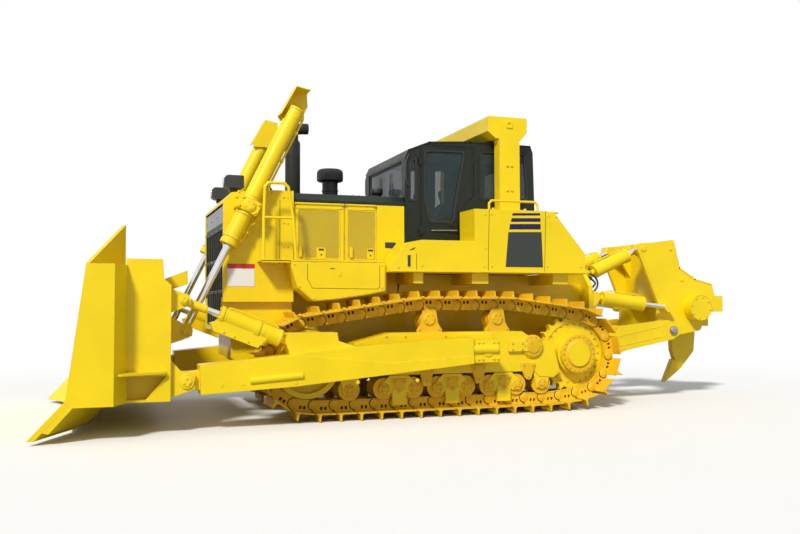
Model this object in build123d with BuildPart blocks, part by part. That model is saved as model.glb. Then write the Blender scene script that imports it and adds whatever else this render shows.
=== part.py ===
from build123d import *
import os
from math import acos, atan2, cos, degrees, hypot, pi, radians, sin, sqrt

# Crawler bulldozer with a semi-U blade in front and a single-shank ripper behind.
# Millimetres: +X towards the blade, +Y to the left, +Z up. The origin is on the ground,
# midway between the foremost and the rearmost points. Outlines are seen from the side,
# as X and Z, unless their name says otherwise.

os.makedirs("parts", exist_ok=True)

# Running fits
seat = 0.3  # between pieces that rest or turn on each other
eye_gap = 12  # each side of a cylinder's eye, between its ears

# Tracks
gauge = 2500
shoe_width = 610
track_pitch = 278.5
shoe_thickness = 20
grouser_height = 93
pin_to_shoe = 87  # from the pin line out to the inner face of a shoe
pin_to_tread = 65  # from the pin line in to the tread of the links
bushing_radius = 40
bushing_sides = 6
idler_shaft_radius = 75
roller_sides = 16
link_inner = 75  # each row of links, from the track's centre line
link_outer = 130
pin_line_low = pin_to_shoe + shoe_thickness + grouser_height

# Sprocket, idler and rollers
sprocket_teeth = 25
sprocket_x = -1860
sprocket_z = 805
sprocket_half_width = 52
sprocket_plate = 35  # half thickness inside its rim
idler_x = 2120
idler_z = 742
idler_pin_radius = 536
roller_radius = 128
flange_height = 20
carrier_radius = 125
carrier_gap = 4  # below the chain's sag between two pins
carrier_height = 1510  # of the pin line over the carrier rollers
single_rollers = (1560, -1280)
bogie_centres = (870, 100, -680)
bogie_reach = 210
carrier_rollers = (420, -600)
roller_side = 152  # half length of a roller's shell
plate_thickness = 28

# Track frames
frame_half_width = 190
frame_low = 575
frame_high = 1140
frame_rear = -1170
frame_front = 1500
equalizer_x = 1250
equalizer_z = 900
pivot_x = -1170
pivot_z = 925
pivot_radius = 120

# Main frame and body
hull_half_width = 640
ground_clearance = 610
guard_half_width = 1000
guard_front = 3165
guard_rear = 2225
guard_low = 1170
guard_high = 3060
guard_wall = 60
guard_low_half_width = 900  # where it stands between the tracks
guard_step_z = 1560
hood_half_width = 950
hood_high = 3050
cover_top = 2895
cover_low = 2110
cover_thickness = 40
cover_gap = 6  # round each engine cover
cover_ledge = 12  # of the hood ahead of the front covers
cover_rear = 1040
cover_split = 1500

# Cab
cab_half_width = 950
cab_front = 610
cab_rear = -1440
cab_low = 1960
cab_floor = 2380
cab_wall = 60
door_front = 370
door_rear = -450
door_low = 2440
door_high = 3810
door_gap = 6
glass_thickness = 8

# Fenders with their tanks and lockers
fender_inner = 975
fender_outer = 1500
fender_low_top = 2400
fender_high_top = 2850
fender_step_x = -220
fender_rear = -2040

# Rollover frame
rops_half_width = 1150
rops_post_inner = 985
rops_post_front = -770
rops_post_rear = -1100
rops_low = 3930
rops_high = 4250

# Push arms and their trunnions
push_pivot_x = -230
push_pivot_z = 900
trunnion_radius = 95
trunnion_cap_radius = 65
arm_clearance = 65  # outside the shoes
arm_width = 330
arm_inner = gauge / 2 + shoe_width / 2 + arm_clearance
arm_outer = arm_inner + arm_width
arm_rear = 0  # of the box section, where the trunnion's housing starts
arm_doubler = 10  # thickness of the plate on the front half of the outer face
skid_radius = 45  # half-round bar low on the outer face
blade_pin_x = 3710
blade_pin_z = 610
blade_pin_radius = 55
arm_eye_radius = 115
arm_eye_half_width = 80
arm_y = (arm_inner + arm_outer) / 2

# Blade
blade_half_width = 2347.5
knuckle_y = 1400
wing_slope = 0.43  # forward run of a wing for each unit of width
blade_tip_x = 5030
blade_tip_z = 50
blade_back = 3900
box_half_width = arm_y + 215
wing_back = 4135
end_plate = 30
rib_z = 730  # of the level rib behind each end
rib_thickness = 30
blade_low = 390
blade_top = 1985
spill_top = 2500

# Lift cylinders
lift_y = 1150
lift_pivot_x = 2870
lift_pivot_z = 2815
lift_eye_x = 3664
lift_eye_z = 1190
lift_barrel_radius = 110
lift_rod_radius = 47
lift_above = 1480
lift_below = 570
lift_eye_radius = 95
lift_eye_half_width = 55
lift_trunnion_radius = 60

# Brace cylinders, which pitch the blade
brace_tail_x = 2330
brace_tail_z = 1010
brace_eye_x = 3745
brace_eye_z = 1575
brace_barrel_radius = 105
brace_rod_radius = 43
brace_eye_radius = 85
brace_eye_half_width = 55

# Ripper
ripper_arm_x = -2600
ripper_arm_z = 900
ripper_pin_x = -3980
ripper_pin_z = 1100
ripper_arm_inner = 640
ripper_arm_outer = 800
ripper_pin_radius = 70
tilt_y = 430
tilt_front_x = -2620
tilt_front_z = 1975
tilt_rear_x = -3610
tilt_rear_z = 2420
tilt_barrel_radius = 108
tilt_rod_radius = 45
raise_y = 722
raise_front_x = -2570
raise_front_z = 1630
raise_rear_x = -3940
raise_rear_z = 1470
raise_barrel_radius = 108
raise_rod_radius = 38
ripper_eye_radius = 80
ripper_front_pin_radius = 34
ripper_eye_half_width = 45
beam_inner = 500
beam_outer = 560
shank_half_width = 50
push_block_rear = -5430


def save(part, name):
    """Writes one finished piece under its own name."""
    part.label = name
    export_step(part, f"parts/{name}.step")


def save_pair(part, name):
    """Writes the left piece and its mirror image on the right."""
    save(part, f"{name}_left")
    save(mirror(part, about=Plane.XZ), f"{name}_right")


def slab(outline, inner, outer, mode=Mode.ADD):
    """A side outline made solid between two stations of Y."""
    with BuildSketch(Plane.XZ.offset(-outer)) as side:
        Polygon(*outline, align=None)
    extrude(side.sketch, amount=outer - inner, mode=mode)


def disc(x, z, radius, inner, outer, mode=Mode.ADD):
    """A round piece on an axis along Y."""
    with BuildSketch(Plane.XZ.offset(-outer)) as side:
        with Locations((x, z)):
            Circle(radius)
    extrude(side.sketch, amount=outer - inner, mode=mode)


def block(rear, front, inner, outer, low, high, mode=Mode.ADD):
    """A square block between two stations on each axis."""
    with BuildSketch(Plane.XY.offset(low)) as plan:
        with Locations(((rear + front) / 2, (inner + outer) / 2)):
            Rectangle(front - rear, outer - inner)
    extrude(plan.sketch, amount=high - low, mode=mode)


def plan_slab(outline, low, high, mode=Mode.ADD):
    """An outline seen from above, as X and Y, made solid between two heights."""
    with BuildSketch(Plane.XY.offset(low)) as plan:
        Polygon(*outline, align=None)
    extrude(plan.sketch, amount=high - low, mode=mode)


def wheel(x, z, radius, inner, outer):
    """A plain roller, drawn with few flats because there are many of them."""
    with BuildSketch(Plane.XZ.offset(-outer)) as side_view:
        with Locations((x, z)):
            RegularPolygon(radius, roller_sides)
    extrude(side_view.sketch, amount=outer - inner)


def cross_slab(outline, rear, front, mode=Mode.ADD):
    """An outline seen from the front, as Y and Z, made solid between two stations of X."""
    with BuildSketch(Plane.YZ.offset(rear)) as front_view:
        Polygon(*outline, align=None)
    extrude(front_view.sketch, amount=front - rear, mode=mode)


def rod(start, end, radius, mode=Mode.ADD):
    """A round bar from one point to another."""
    along = Vector(*end) - Vector(*start)
    with BuildSketch(Plane(origin=start, z_dir=along)) as section:
        Circle(radius)
    extrude(section.sketch, amount=along.length, mode=mode)


def along(start, end, distance, off=0):
    """The point that far from start towards end in side view, moved off to the left of that way."""
    dx, dz = end[0] - start[0], end[1] - start[1]
    reach = hypot(dx, dz)
    return (start[0] + (dx * distance - dz * off) / reach, start[1] + (dz * distance + dx * off) / reach)


def round_wheels(wheels):
    """The line drawn tight round wheels of X, Z and radius: its runs and arcs with their lengths."""
    pairs = list(zip(wheels, wheels[1:] + wheels[:1]))
    normals = []
    for (x1, z1, r1), (x2, z2, r2) in pairs:
        normals.append(atan2(z2 - z1, x2 - x1) + acos((r1 - r2) / hypot(x2 - x1, z2 - z1)))
    spans = []
    for i, ((x1, z1, r1), (x2, z2, r2)) in enumerate(pairs):
        nx, nz = cos(normals[i]), sin(normals[i])
        start, end = (x1 + r1 * nx, z1 + r1 * nz), (x2 + r2 * nx, z2 + r2 * nz)
        spans.append(("run", start, end, hypot(end[0] - start[0], end[1] - start[1])))
        turn = (normals[i] - normals[(i + 1) % len(pairs)]) % (2 * pi)
        spans.append(("arc", (x2, z2, r2), normals[i], r2 * turn))
    return spans, normals


def pin_places(spans, count):
    """Equal steps along the line, as X and Z."""
    step = sum(span[3] for span in spans) / count
    places = []
    for i in range(count):
        left = i * step
        for kind, first, second, length in spans:
            if left <= length:
                break
            left -= length
        if kind == "run":
            share = left / length
            places.append(tuple(a + (b - a) * share for a, b in zip(first, second)))
        else:
            x, z, radius = first
            angle = second - left / radius
            places.append((x + radius * cos(angle), z + radius * sin(angle)))
    return places


def follow_links(places, profile):
    """An outline that repeats the profile, of lengths along a link and heights off it, on each link."""
    outline = []
    for (x1, z1), (x2, z2) in zip(places, places[1:] + places[:1]):
        reach = hypot(x2 - x1, z2 - z1)
        tx, tz = (x2 - x1) / reach, (z2 - z1) / reach
        for s, h in profile:
            outline.append((x1 + tx * s - tz * h, z1 + tz * s + tx * h))
    return outline


# ---------------------------------------------------------------- undercarriage

sprocket_pitch_radius = track_pitch * sprocket_teeth / (4 * pi)
track_y = gauge / 2
shoe_inner = track_y - shoe_width / 2
shoe_outer = track_y + shoe_width / 2
tread_height = pin_line_low + pin_to_tread
roller_z = tread_height + seat + roller_radius
carrier_z = carrier_height - pin_to_tread - carrier_gap - carrier_radius
flat_run = 190  # of the pin line beyond the end rollers
wheels = [
    (sprocket_x, sprocket_z, sprocket_pitch_radius),
    (carrier_rollers[1] - flat_run, carrier_height, 0),
    (carrier_rollers[0] + flat_run, carrier_height, 0),
    (idler_x, idler_z, idler_pin_radius),
    (single_rollers[0] + flat_run, pin_line_low, 0),
    (single_rollers[1] - flat_run, pin_line_low, 0),
]
pin_spans, pin_normals = round_wheels(wheels)
track_length = sum(span[3] for span in pin_spans)
link_count = round(track_length / track_pitch)
pins = pin_places(pin_spans, link_count)

shoe_out = pin_to_shoe + shoe_thickness
# length along the link, height off the pin line
shoe_profile = (
    (6, shoe_out),
    (30, shoe_out),
    (46, shoe_out + grouser_height),
    (70, shoe_out + grouser_height),
    (88, shoe_out),
    (270, shoe_out),
)
shoe_under = ((20, pin_to_shoe), (260, pin_to_shoe))
link_top = ((20, pin_to_shoe + shoe_thickness / 2), (260, pin_to_shoe + shoe_thickness / 2))
link_tread = ((35, -pin_to_tread), (245, -pin_to_tread))

with BuildPart() as link_rows:
    for row in (-1, 1):
        low, high = sorted((track_y + row * link_inner, track_y + row * link_outer))
        slab(follow_links(pins, link_top), low, high)
        slab(follow_links(pins, link_tread), low, high, mode=Mode.SUBTRACT)

with BuildPart() as track:
    slab(follow_links(pins, shoe_profile), shoe_inner, shoe_outer)
    slab(follow_links(pins, shoe_under), shoe_inner, shoe_outer, mode=Mode.SUBTRACT)
    add(link_rows.part)
    with BuildSketch(Plane.XZ.offset(-track_y - link_inner)) as bushings:
        with Locations(*pins):
            RegularPolygon(bushing_radius, bushing_sides)
    extrude(bushings.sketch, amount=2 * link_inner)
save_pair(track.part, "track")

tooth_step = 360 / sprocket_teeth
root_radius = sprocket_pitch_radius - bushing_radius - 12
tip_radius = sprocket_pitch_radius + 12
valley_half = degrees((bushing_radius + 12) / sprocket_pitch_radius)
# share of the way round one tooth from valley to valley, radius
tooth_profile = (
    (-0.5 * valley_half, root_radius),
    (0.5 * valley_half, root_radius),
    (1.0 * valley_half, sprocket_pitch_radius - 12),
    (tooth_step / 2 - 1.0, tip_radius),
    (tooth_step / 2 + 1.0, tip_radius),
    (tooth_step - 1.0 * valley_half, sprocket_pitch_radius - 12),
)
first_valley = degrees(pin_normals[0])
tooth_outline = []
for tooth in range(sprocket_teeth):
    for turn, radius in tooth_profile:
        angle = radians(first_valley + tooth * tooth_step + turn)
        tooth_outline.append((sprocket_x + radius * cos(angle), sprocket_z + radius * sin(angle)))

drive_case_radius = 400
sprocket_rim = 445  # inner radius of the toothed rim
hub_steps = (  # radius, inner and outer station from the track's centre line
    (drive_case_radius, -sprocket_plate, sprocket_plate),
    (300, sprocket_plate, 150),
    (275, 150, 215),
    (180, 215, 250),
)
with BuildPart() as sprocket:
    slab(tooth_outline, track_y - sprocket_half_width, track_y + sprocket_half_width)
    for row in (-1, 1):
        low, high = sorted((track_y + row * sprocket_plate, track_y + row * sprocket_half_width))
        disc(sprocket_x, sprocket_z, sprocket_rim, low, high, mode=Mode.SUBTRACT)
    for radius, inner, outer in hub_steps:
        disc(sprocket_x, sprocket_z, radius, track_y + inner, track_y + outer)
save_pair(sprocket.part, "sprocket")

idler_tread = sqrt(idler_pin_radius**2 - (track_pitch / 2) ** 2) - pin_to_tread - 3
with BuildPart() as idler:
    disc(idler_x, idler_z, idler_tread, track_y - link_outer, track_y + link_outer)
    disc(idler_x, idler_z, idler_tread + 18, track_y - link_inner + 12, track_y + link_inner - 12)
    for row in (-1, 1):
        low, high = sorted((track_y + row * 45, track_y + row * link_outer))
        disc(idler_x, idler_z, idler_tread - 70, low, high, mode=Mode.SUBTRACT)
        disc(idler_x, idler_z, 130, low, high)
    shaft_reach = roller_side + plate_thickness
    disc(idler_x, idler_z, idler_shaft_radius, track_y - shaft_reach, track_y + shaft_reach)
save_pair(idler.part, "idler")

carrier_bracket_face = track_y - link_outer - 8
track_rollers = list(single_rollers) + [c + side * bogie_reach for c in bogie_centres for side in (1, -1)]
with BuildPart() as rollers:
    for x in track_rollers:
        wheel(x, roller_z, roller_radius, track_y - roller_side, track_y + roller_side)
        for row in (-1, 1):
            low, high = sorted((track_y + row * (link_outer + seat), track_y + row * roller_side))
            wheel(x, roller_z, roller_radius + flange_height, low, high)
    for x in carrier_rollers:
        wheel(x, carrier_z, carrier_radius, carrier_bracket_face + seat, track_y + link_outer)
save_pair(rollers.part, "rollers")

bogie_inner = roller_side + seat
bogie_outer = bogie_inner + plate_thickness
bogie_low = roller_z - 75
bogie_cover = 14  # thickness of the plate over each bogie's pivot
bogie_guard_low = 170
bogie_high = frame_low - 6
with BuildPart() as bogies:
    for centre in bogie_centres:
        outline = (
            (centre - bogie_reach - 80, roller_z + 20),
            (centre - bogie_reach - 60, bogie_low),
            (centre - bogie_reach + 60, bogie_low),
            (centre, bogie_low + 60),
            (centre + bogie_reach - 60, bogie_low),
            (centre + bogie_reach + 60, bogie_low),
            (centre + bogie_reach + 80, roller_z + 20),
            (centre + 130, bogie_high),
            (centre - 130, bogie_high),
        )
        for row in (-1, 1):
            low, high = sorted((track_y + row * bogie_inner, track_y + row * bogie_outer))
            slab(outline, low, high)
        disc(centre, bogie_high - 38, 34, track_y - bogie_inner, track_y + bogie_inner)
        slab(
            (
                (centre - 115, bogie_high - 45),
                (centre - 115, bogie_high - 70),
                (centre - 25, bogie_low),
                (centre + 25, bogie_low),
                (centre + 115, bogie_high - 70),
                (centre + 115, bogie_high - 45),
            ),
            track_y + bogie_outer - 5,
            track_y + bogie_outer + bogie_cover,
        )
        block(
            centre - 100,
            centre + 100,
            track_y + bogie_inner,
            track_y + bogie_outer + bogie_cover,
            bogie_guard_low,
            bogie_low + 70,
        )
save_pair(bogies.part, "bogies")

arm_pin_bore = trunnion_radius + seat
frame_inner = track_y - frame_half_width
frame_outer = track_y + frame_half_width
hanger_low = roller_z - 60
shield_thickness = 25
frame_shields = ((485, 690, 415), (-290, 690, 430), (-1050, 690, 480))  # x, upper and lower end
pivot_cover_x = -1125
pivot_cover_radius = 165
trunnion_face = arm_outer - 45  # outer face of the arm's trunnion housing
trunnion_end = trunnion_face - 50
with BuildPart() as track_frame:
    slab(
        (
            (frame_rear, frame_low),
            (frame_rear, 1010),
            (frame_rear + 200, frame_high),
            (frame_front - 500, frame_high),
            (frame_front, 1010),
            (frame_front, frame_low),
        ),
        frame_inner,
        frame_outer,
    )
    # hangers of the single rollers
    for x in single_rollers:
        for row in (-1, 1):
            low, high = sorted((track_y + row * bogie_inner, track_y + row * bogie_outer))
            slab(
                (
                    (x - 140, frame_low + 10),
                    (x - 80, hanger_low),
                    (x + 80, hanger_low),
                    (x + 140, frame_low + 10),
                ),
                low,
                high,
            )
    # bogie hangers
    for centre in bogie_centres:
        block(centre - 60, centre + 60, track_y - 60, track_y + 60, bogie_high - 4 + seat, frame_low + 10)
    # tail that guards the sprocket
    slab(
        (
            (frame_rear + 10, 1010),
            (frame_rear - 280, 1000),
            (frame_rear - 400, 560),
            (frame_rear - 300, 480),
            (frame_rear - 60, 500),
            (frame_rear + 10, frame_low),
        ),
        track_y + bogie_inner,
        frame_outer,
    )
    # yoke that holds the idler
    for row in (-1, 1):
        low, high = sorted((track_y + row * bogie_inner, track_y + row * bogie_outer))
        slab(
            (
                (frame_front - 20, 620),
                (idler_x + 60, 650),
                (idler_x + 110, idler_z),
                (idler_x + 60, 850),
                (frame_front - 20, 960),
            ),
            low,
            high,
        )
        disc(idler_x, idler_z, idler_shaft_radius + seat, low, high, mode=Mode.SUBTRACT)
    # trunnion that carries the push arm, with its cap
    block(push_pivot_x - 260, push_pivot_x + 260, frame_outer - 10, frame_outer + 60, 700, 1100)
    disc(push_pivot_x, push_pivot_z, trunnion_radius, frame_outer + 50, trunnion_end)
    # shields over the bogies' hangers
    for x, high, low in frame_shields:
        slab(
            (
                (x - 120, high),
                (x - 95, high - 90),
                (x - 45, low),
                (x + 45, low),
                (x + 95, high - 90),
                (x + 120, high),
            ),
            frame_outer - 5,
            frame_outer + shield_thickness,
        )
    # cover of the frame's rear pivot and the block before it
    disc(pivot_cover_x, pivot_z, pivot_cover_radius, frame_outer - 5, frame_outer + shield_thickness)
    block(-1147, -740, frame_outer - 5, frame_outer + 50, 860, 995)
    # carrier roller brackets
    for x in carrier_rollers:
        block(x - 70, x + 70, frame_inner + 4, carrier_bracket_face, frame_high - 10, carrier_z + 70)
save_pair(track_frame.part, "track_frame")

# ---------------------------------------------------------------- main frame

beam_stations = ((-1750, -1500), (-480, -230), (500, 640))  # rear and front of the beams under the fenders
side_frame = 560  # inner face of the engine's side frames
deck_plate = 2090
with BuildPart() as hull:
    slab(
        (
            (-2400, 760),
            (-2200, ground_clearance),
            (2500, ground_clearance),
            (3000, 800),
            (3000, guard_low - seat),
            (700, guard_low - seat),
            (560, cab_low - seat),
            (-1750, cab_low - seat),
            (-1900, 1820),
            (-2400, 1820),
        ),
        -hull_half_width,
        hull_half_width,
    )
    for row in (-1, 1):
        low, high = sorted((row * (hull_half_width - 10), row * (track_y - sprocket_plate - seat)))
        disc(sprocket_x, sprocket_z, drive_case_radius, low, high)
        low, high = sorted((row * (hull_half_width - 10), row * (frame_inner - seat)))
        disc(pivot_x, pivot_z, pivot_radius, low, high)
        low, high = sorted((row * (hull_half_width - 40), row * (fender_outer - 120)))
        for rear, front in beam_stations:
            block(rear, front, low, high, cab_low - 150, cab_low - seat)
        low, high = sorted((row * side_frame, row * hull_half_width))
        block(cab_front + 12, guard_rear - 10, low, high, guard_low - 50, deck_plate - seat)
    block(
        equalizer_x - 110,
        equalizer_x + 110,
        -frame_inner + seat,
        frame_inner - seat,
        equalizer_z - 110,
        equalizer_z + 110,
    )
save(hull.part, "hull")

with BuildPart() as engine:
    block(900, 2120, -400, 400, guard_low, 2700)
save(engine.part, "engine")

# rear bracket that carries the ripper
bracket_front = -2400 - seat
bracket_rear = -2470
pivot_pin_radius = 60
with BuildPart() as rear_bracket:
    cross_slab(
        ((-870, 700), (870, 700), (870, 1800), (600, 2110), (-600, 2110), (-870, 1800)),
        bracket_rear,
        bracket_front,
    )
    for row in (-1, 1):
        for inner, outer in ((ripper_arm_inner - 70, ripper_arm_inner - 12), (ripper_arm_outer + 12, 870)):
            low, high = sorted((row * inner, row * outer))
            slab(
                (
                    (bracket_rear + 10, 740),
                    (bracket_rear + 10, 1120),
                    (ripper_arm_x - 60, 1010),
                    (ripper_arm_x - 120, ripper_arm_z),
                    (ripper_arm_x - 60, 790),
                ),
                low,
                high,
            )
        low, high = sorted((row * (ripper_arm_inner - 70), row * 870))
        disc(ripper_arm_x, ripper_arm_z, pivot_pin_radius, low, high)
        for x, z, y in ((tilt_front_x, tilt_front_z, tilt_y), (raise_front_x, raise_front_z, raise_y)):
            for side in (-1, 1):
                ear_inner = y + side * (ripper_eye_half_width + eye_gap)
                low, high = sorted((row * ear_inner, row * (ear_inner + side * 35)))
                slab(
                    (
                        (bracket_rear + 10, z - 180),
                        (bracket_rear + 10, z + 110),
                        (x - 40, z + 75),
                        (x - 85, z),
                        (x - 40, z - 75),
                    ),
                    low,
                    high,
                )
            low, high = sorted(
                (row * (y - ripper_eye_half_width - 40), row * (y + ripper_eye_half_width + 40))
            )
            disc(x, z, ripper_front_pin_radius, low, high)
save(rear_bracket.part, "rear_bracket")

# ---------------------------------------------------------------- radiator guard and hood

guard_outline = (
    (guard_rear, guard_low),
    (guard_front, guard_low),
    (guard_front, 2900),
    (3060, 3010),
    (2600, guard_high),
    (guard_rear, guard_high),
)
guard_hollow = (
    (guard_rear - 10, guard_low + guard_wall),
    (guard_front + 10, guard_low + guard_wall),
    (guard_front + 10, 2860),
    (3040, 2950),
    (2600, guard_high - guard_wall),
    (guard_rear - 10, guard_high - guard_wall),
)
with BuildPart() as radiator_guard:
    slab(guard_outline, -guard_half_width, guard_half_width)
    for row in (-1, 1):
        low, high = sorted((row * guard_low_half_width, row * (guard_half_width + 10)))
        block(guard_rear - 10, guard_front + 10, low, high, guard_low - 10, guard_step_z, mode=Mode.SUBTRACT)
    slab(
        guard_hollow,
        -guard_low_half_width + guard_wall,
        guard_low_half_width - guard_wall,
        mode=Mode.SUBTRACT,
    )
    slab(
        tuple((x, max(z, guard_step_z + guard_wall)) for x, z in guard_hollow),
        -guard_half_width + guard_wall,
        guard_half_width - guard_wall,
        mode=Mode.SUBTRACT,
    )
    for row in (-1, 1):
        low, high = sorted((row * (guard_half_width + 10), row * (guard_half_width - guard_wall)))
        disc(lift_pivot_x, lift_pivot_z, lift_trunnion_radius + seat, low, high, mode=Mode.SUBTRACT)
save(radiator_guard.part, "radiator_guard")

grille_half_width = guard_half_width - guard_wall - seat
grille_low = guard_low + guard_wall + seat
grille_high = 2850
grille_step = guard_step_z + guard_wall + seat
core_half_width = guard_low_half_width - guard_wall - seat
grille_bars = 9
grille_pitch = (2 * grille_half_width - 80) / grille_bars
with BuildPart() as grille:
    block(guard_front - 70, guard_front - 20, -grille_half_width, grille_half_width, grille_step, grille_high)
    block(guard_front - 70, guard_front - 20, -core_half_width, core_half_width, grille_low, grille_step)
    for i in range(grille_bars):
        y = -grille_half_width + 40 + (i + 0.5) * grille_pitch
        for low, high in ((1690, 2080), (2150, 2560)):
            block(guard_front - 80, guard_front - 10, y - 70, y + 70, low, high, mode=Mode.SUBTRACT)
save(grille.part, "grille")

with BuildPart() as radiator:
    block(2560, 2860, -core_half_width, core_half_width, grille_low, 2950)
save(radiator.part, "radiator")

hood_rear = cab_front + 12
hood_front = guard_rear - seat
hinge_y = hood_half_width + 16
hinge_z = cover_top + 5
knuckle_radius = 14
hinge_pin_radius = 9
cover_ends = (
    (cover_rear, cover_split - cover_gap / 2),
    (cover_split + cover_gap / 2, hood_front - cover_ledge),
)
hood_wall = 40
hood_chamfer = 90
with BuildPart() as hood:
    cross_slab(
        (
            (-hood_half_width, hinge_z),
            (hood_half_width, hinge_z),
            (hood_half_width, hood_high - hood_chamfer),
            (hood_half_width - hood_chamfer, hood_high),
            (-hood_half_width + hood_chamfer, hood_high),
            (-hood_half_width, hood_high - hood_chamfer),
        ),
        hood_rear,
        hood_front,
    )
    cross_slab(
        (
            (-hood_half_width + hood_wall, hinge_z - 10),
            (hood_half_width - hood_wall, hinge_z - 10),
            (hood_half_width - hood_wall, hood_high - hood_chamfer - 15),
            (hood_half_width - hood_chamfer - 15, hood_high - hood_wall),
            (-hood_half_width + hood_chamfer + 15, hood_high - hood_wall),
            (-hood_half_width + hood_wall, hood_high - hood_chamfer - 15),
        ),
        hood_rear + hood_wall,
        hood_front - hood_wall,
        mode=Mode.SUBTRACT,
    )
    for row in (-1, 1):
        low, high = sorted((row * (hood_half_width - cover_thickness), row * hood_half_width))
        block(hood_rear, cover_rear - cover_gap, low, high, cover_low, hinge_z + 5)
        block(hood_front - cover_ledge + cover_gap, hood_front, low, high, cover_low, hinge_z + 5)
        for rear, front in cover_ends:
            for start in (rear + 5, front - 25):
                with BuildSketch(Plane.YZ.offset(start)) as lug:
                    with Locations((row * (hinge_y - 2), hinge_z + 6)):
                        Rectangle(2 * knuckle_radius, 2 * knuckle_radius + 12)
                    with Locations((row * hinge_y, hinge_z)):
                        Circle(hinge_pin_radius + seat, mode=Mode.SUBTRACT)
                extrude(lug.sketch, amount=20)
save(hood.part, "hood")

cover_names = ("engine_cover_rear", "engine_cover_front")
for name, (rear, front) in zip(cover_names, cover_ends):
    with BuildPart() as cover:
        block(rear, front, hood_half_width - cover_thickness, hood_half_width, cover_low + 6, cover_top - 10)
        block(rear + 30, front - 30, hood_half_width - 8, hinge_y - 6, cover_top - 60, cover_top + 1)
        rod((rear + 30, hinge_y, hinge_z), (front - 30, hinge_y, hinge_z), knuckle_radius)
        rod((rear + 5, hinge_y, hinge_z), (front - 5, hinge_y, hinge_z), hinge_pin_radius)
        block(front - 110, front - 70, hood_half_width, hood_half_width + 30, cover_low + 60, cover_low + 200)
    save_pair(cover.part, name)

# lockers below the covers, the walk plates beside them and their rails
walk_outer = 1350
with BuildPart() as side_deck:
    plan_slab(
        (
            (640, side_frame),
            (guard_rear - 8, side_frame),
            (guard_rear - 8, guard_half_width + seat),
            (2720, guard_half_width + seat),
            (2720, walk_outer),
            (1040, walk_outer),
            (1040, fender_inner - 15),
            (640, fender_inner - 15),
        ),
        deck_plate,
        cover_low - seat,
    )
    block(870, 1850, hull_half_width + seat, 925, 1600, deck_plate)
save_pair(side_deck.part, "side_deck")

rail_radius = 20
rail_y = walk_outer - 30
rail_bar = 2660  # height of the cross bar
rail_kink = 2200  # above this the rear post leans forward
rail_feet = (2265, 2690)  # rear and front
rail_points = (
    (rail_feet[0], rail_y, cover_low),
    (rail_feet[0], rail_y, rail_kink),
    (2300, rail_y, rail_bar),
    (2365, rail_y, 3060),
    (2420, rail_y, 3115),
    (2630, rail_y, 3115),
    (2675, rail_y, 3060),
    (rail_feet[1], rail_y, rail_bar),
    (rail_feet[1], rail_y, cover_low),
)
with BuildPart() as side_rail:
    with BuildLine() as loop:
        Polyline(*rail_points)
    with BuildSketch(Plane.XY.offset(cover_low)):
        with Locations((rail_feet[0], rail_y)):
            Circle(rail_radius)
    sweep(path=loop.line, transition=Transition.RIGHT)
    rod((2300, rail_y, rail_bar), (rail_feet[1], rail_y, rail_bar), rail_radius - 4)
save_pair(side_rail.part, "side_rail")

stack_x = 2090
stack_y = 300
stack_radius = 108  # of the muffler's sleeve
stack_pipe_radius = 80
stack_sleeve = 830  # height of the sleeve above the hood
stack_rise = 950
stack_tail = 220  # of the outlet, back from the stack
with BuildPart() as exhaust:
    with BuildLine() as pipe:
        Polyline(
            (stack_x, stack_y, hood_high),
            (stack_x, stack_y, hood_high + stack_rise),
            (stack_x - stack_tail / 3, stack_y, hood_high + stack_rise + 45),
            (stack_x - stack_tail, stack_y, hood_high + stack_rise + 60),
        )
    with BuildSketch(Plane.XY.offset(hood_high)):
        with Locations((stack_x, stack_y)):
            Circle(stack_pipe_radius)
    sweep(path=pipe.line, transition=Transition.RIGHT)
    rod((stack_x, stack_y, hood_high), (stack_x, stack_y, hood_high + stack_sleeve), stack_radius)
save(exhaust.part, "exhaust")

# x, y, stem radius, bowl radius, and the heights of the stem, bowl and crown above the hood
cleaners = ((1460, 0, 115, 195, 290, 390, 490), (730, 200, 60, 95, 130, 180, 230))
with BuildPart() as air_cleaners:
    for x, y, stem, bowl, stem_rise, bowl_rise, crown_rise in cleaners:
        with BuildSketch(Plane(origin=(x, y, 0), x_dir=(1, 0, 0), z_dir=(0, -1, 0))) as half:
            Polygon(
                (0, hood_high),
                (stem, hood_high),
                (stem, hood_high + stem_rise),
                (bowl, hood_high + stem_rise + 20),
                (bowl, hood_high + bowl_rise),
                (bowl * 0.55, hood_high + crown_rise),
                (0, hood_high + crown_rise),
                align=None,
            )
        revolve(half.sketch, axis=Axis((x, y, 0), (0, 0, 1)))
save(air_cleaners.part, "air_cleaners")

lamp_y = 660
with BuildPart() as headlamps:
    for y in (-lamp_y, lamp_y):
        block(2895, 3120, y - 115, y + 115, 3095, 3275)
        block(2940, 3040, y - 60, y + 60, 3024, 3100)
        rod((3110, y, 3185), (3132, y, 3185), 78)
save(headlamps.part, "headlamps")

# ---------------------------------------------------------------- cab

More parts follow.
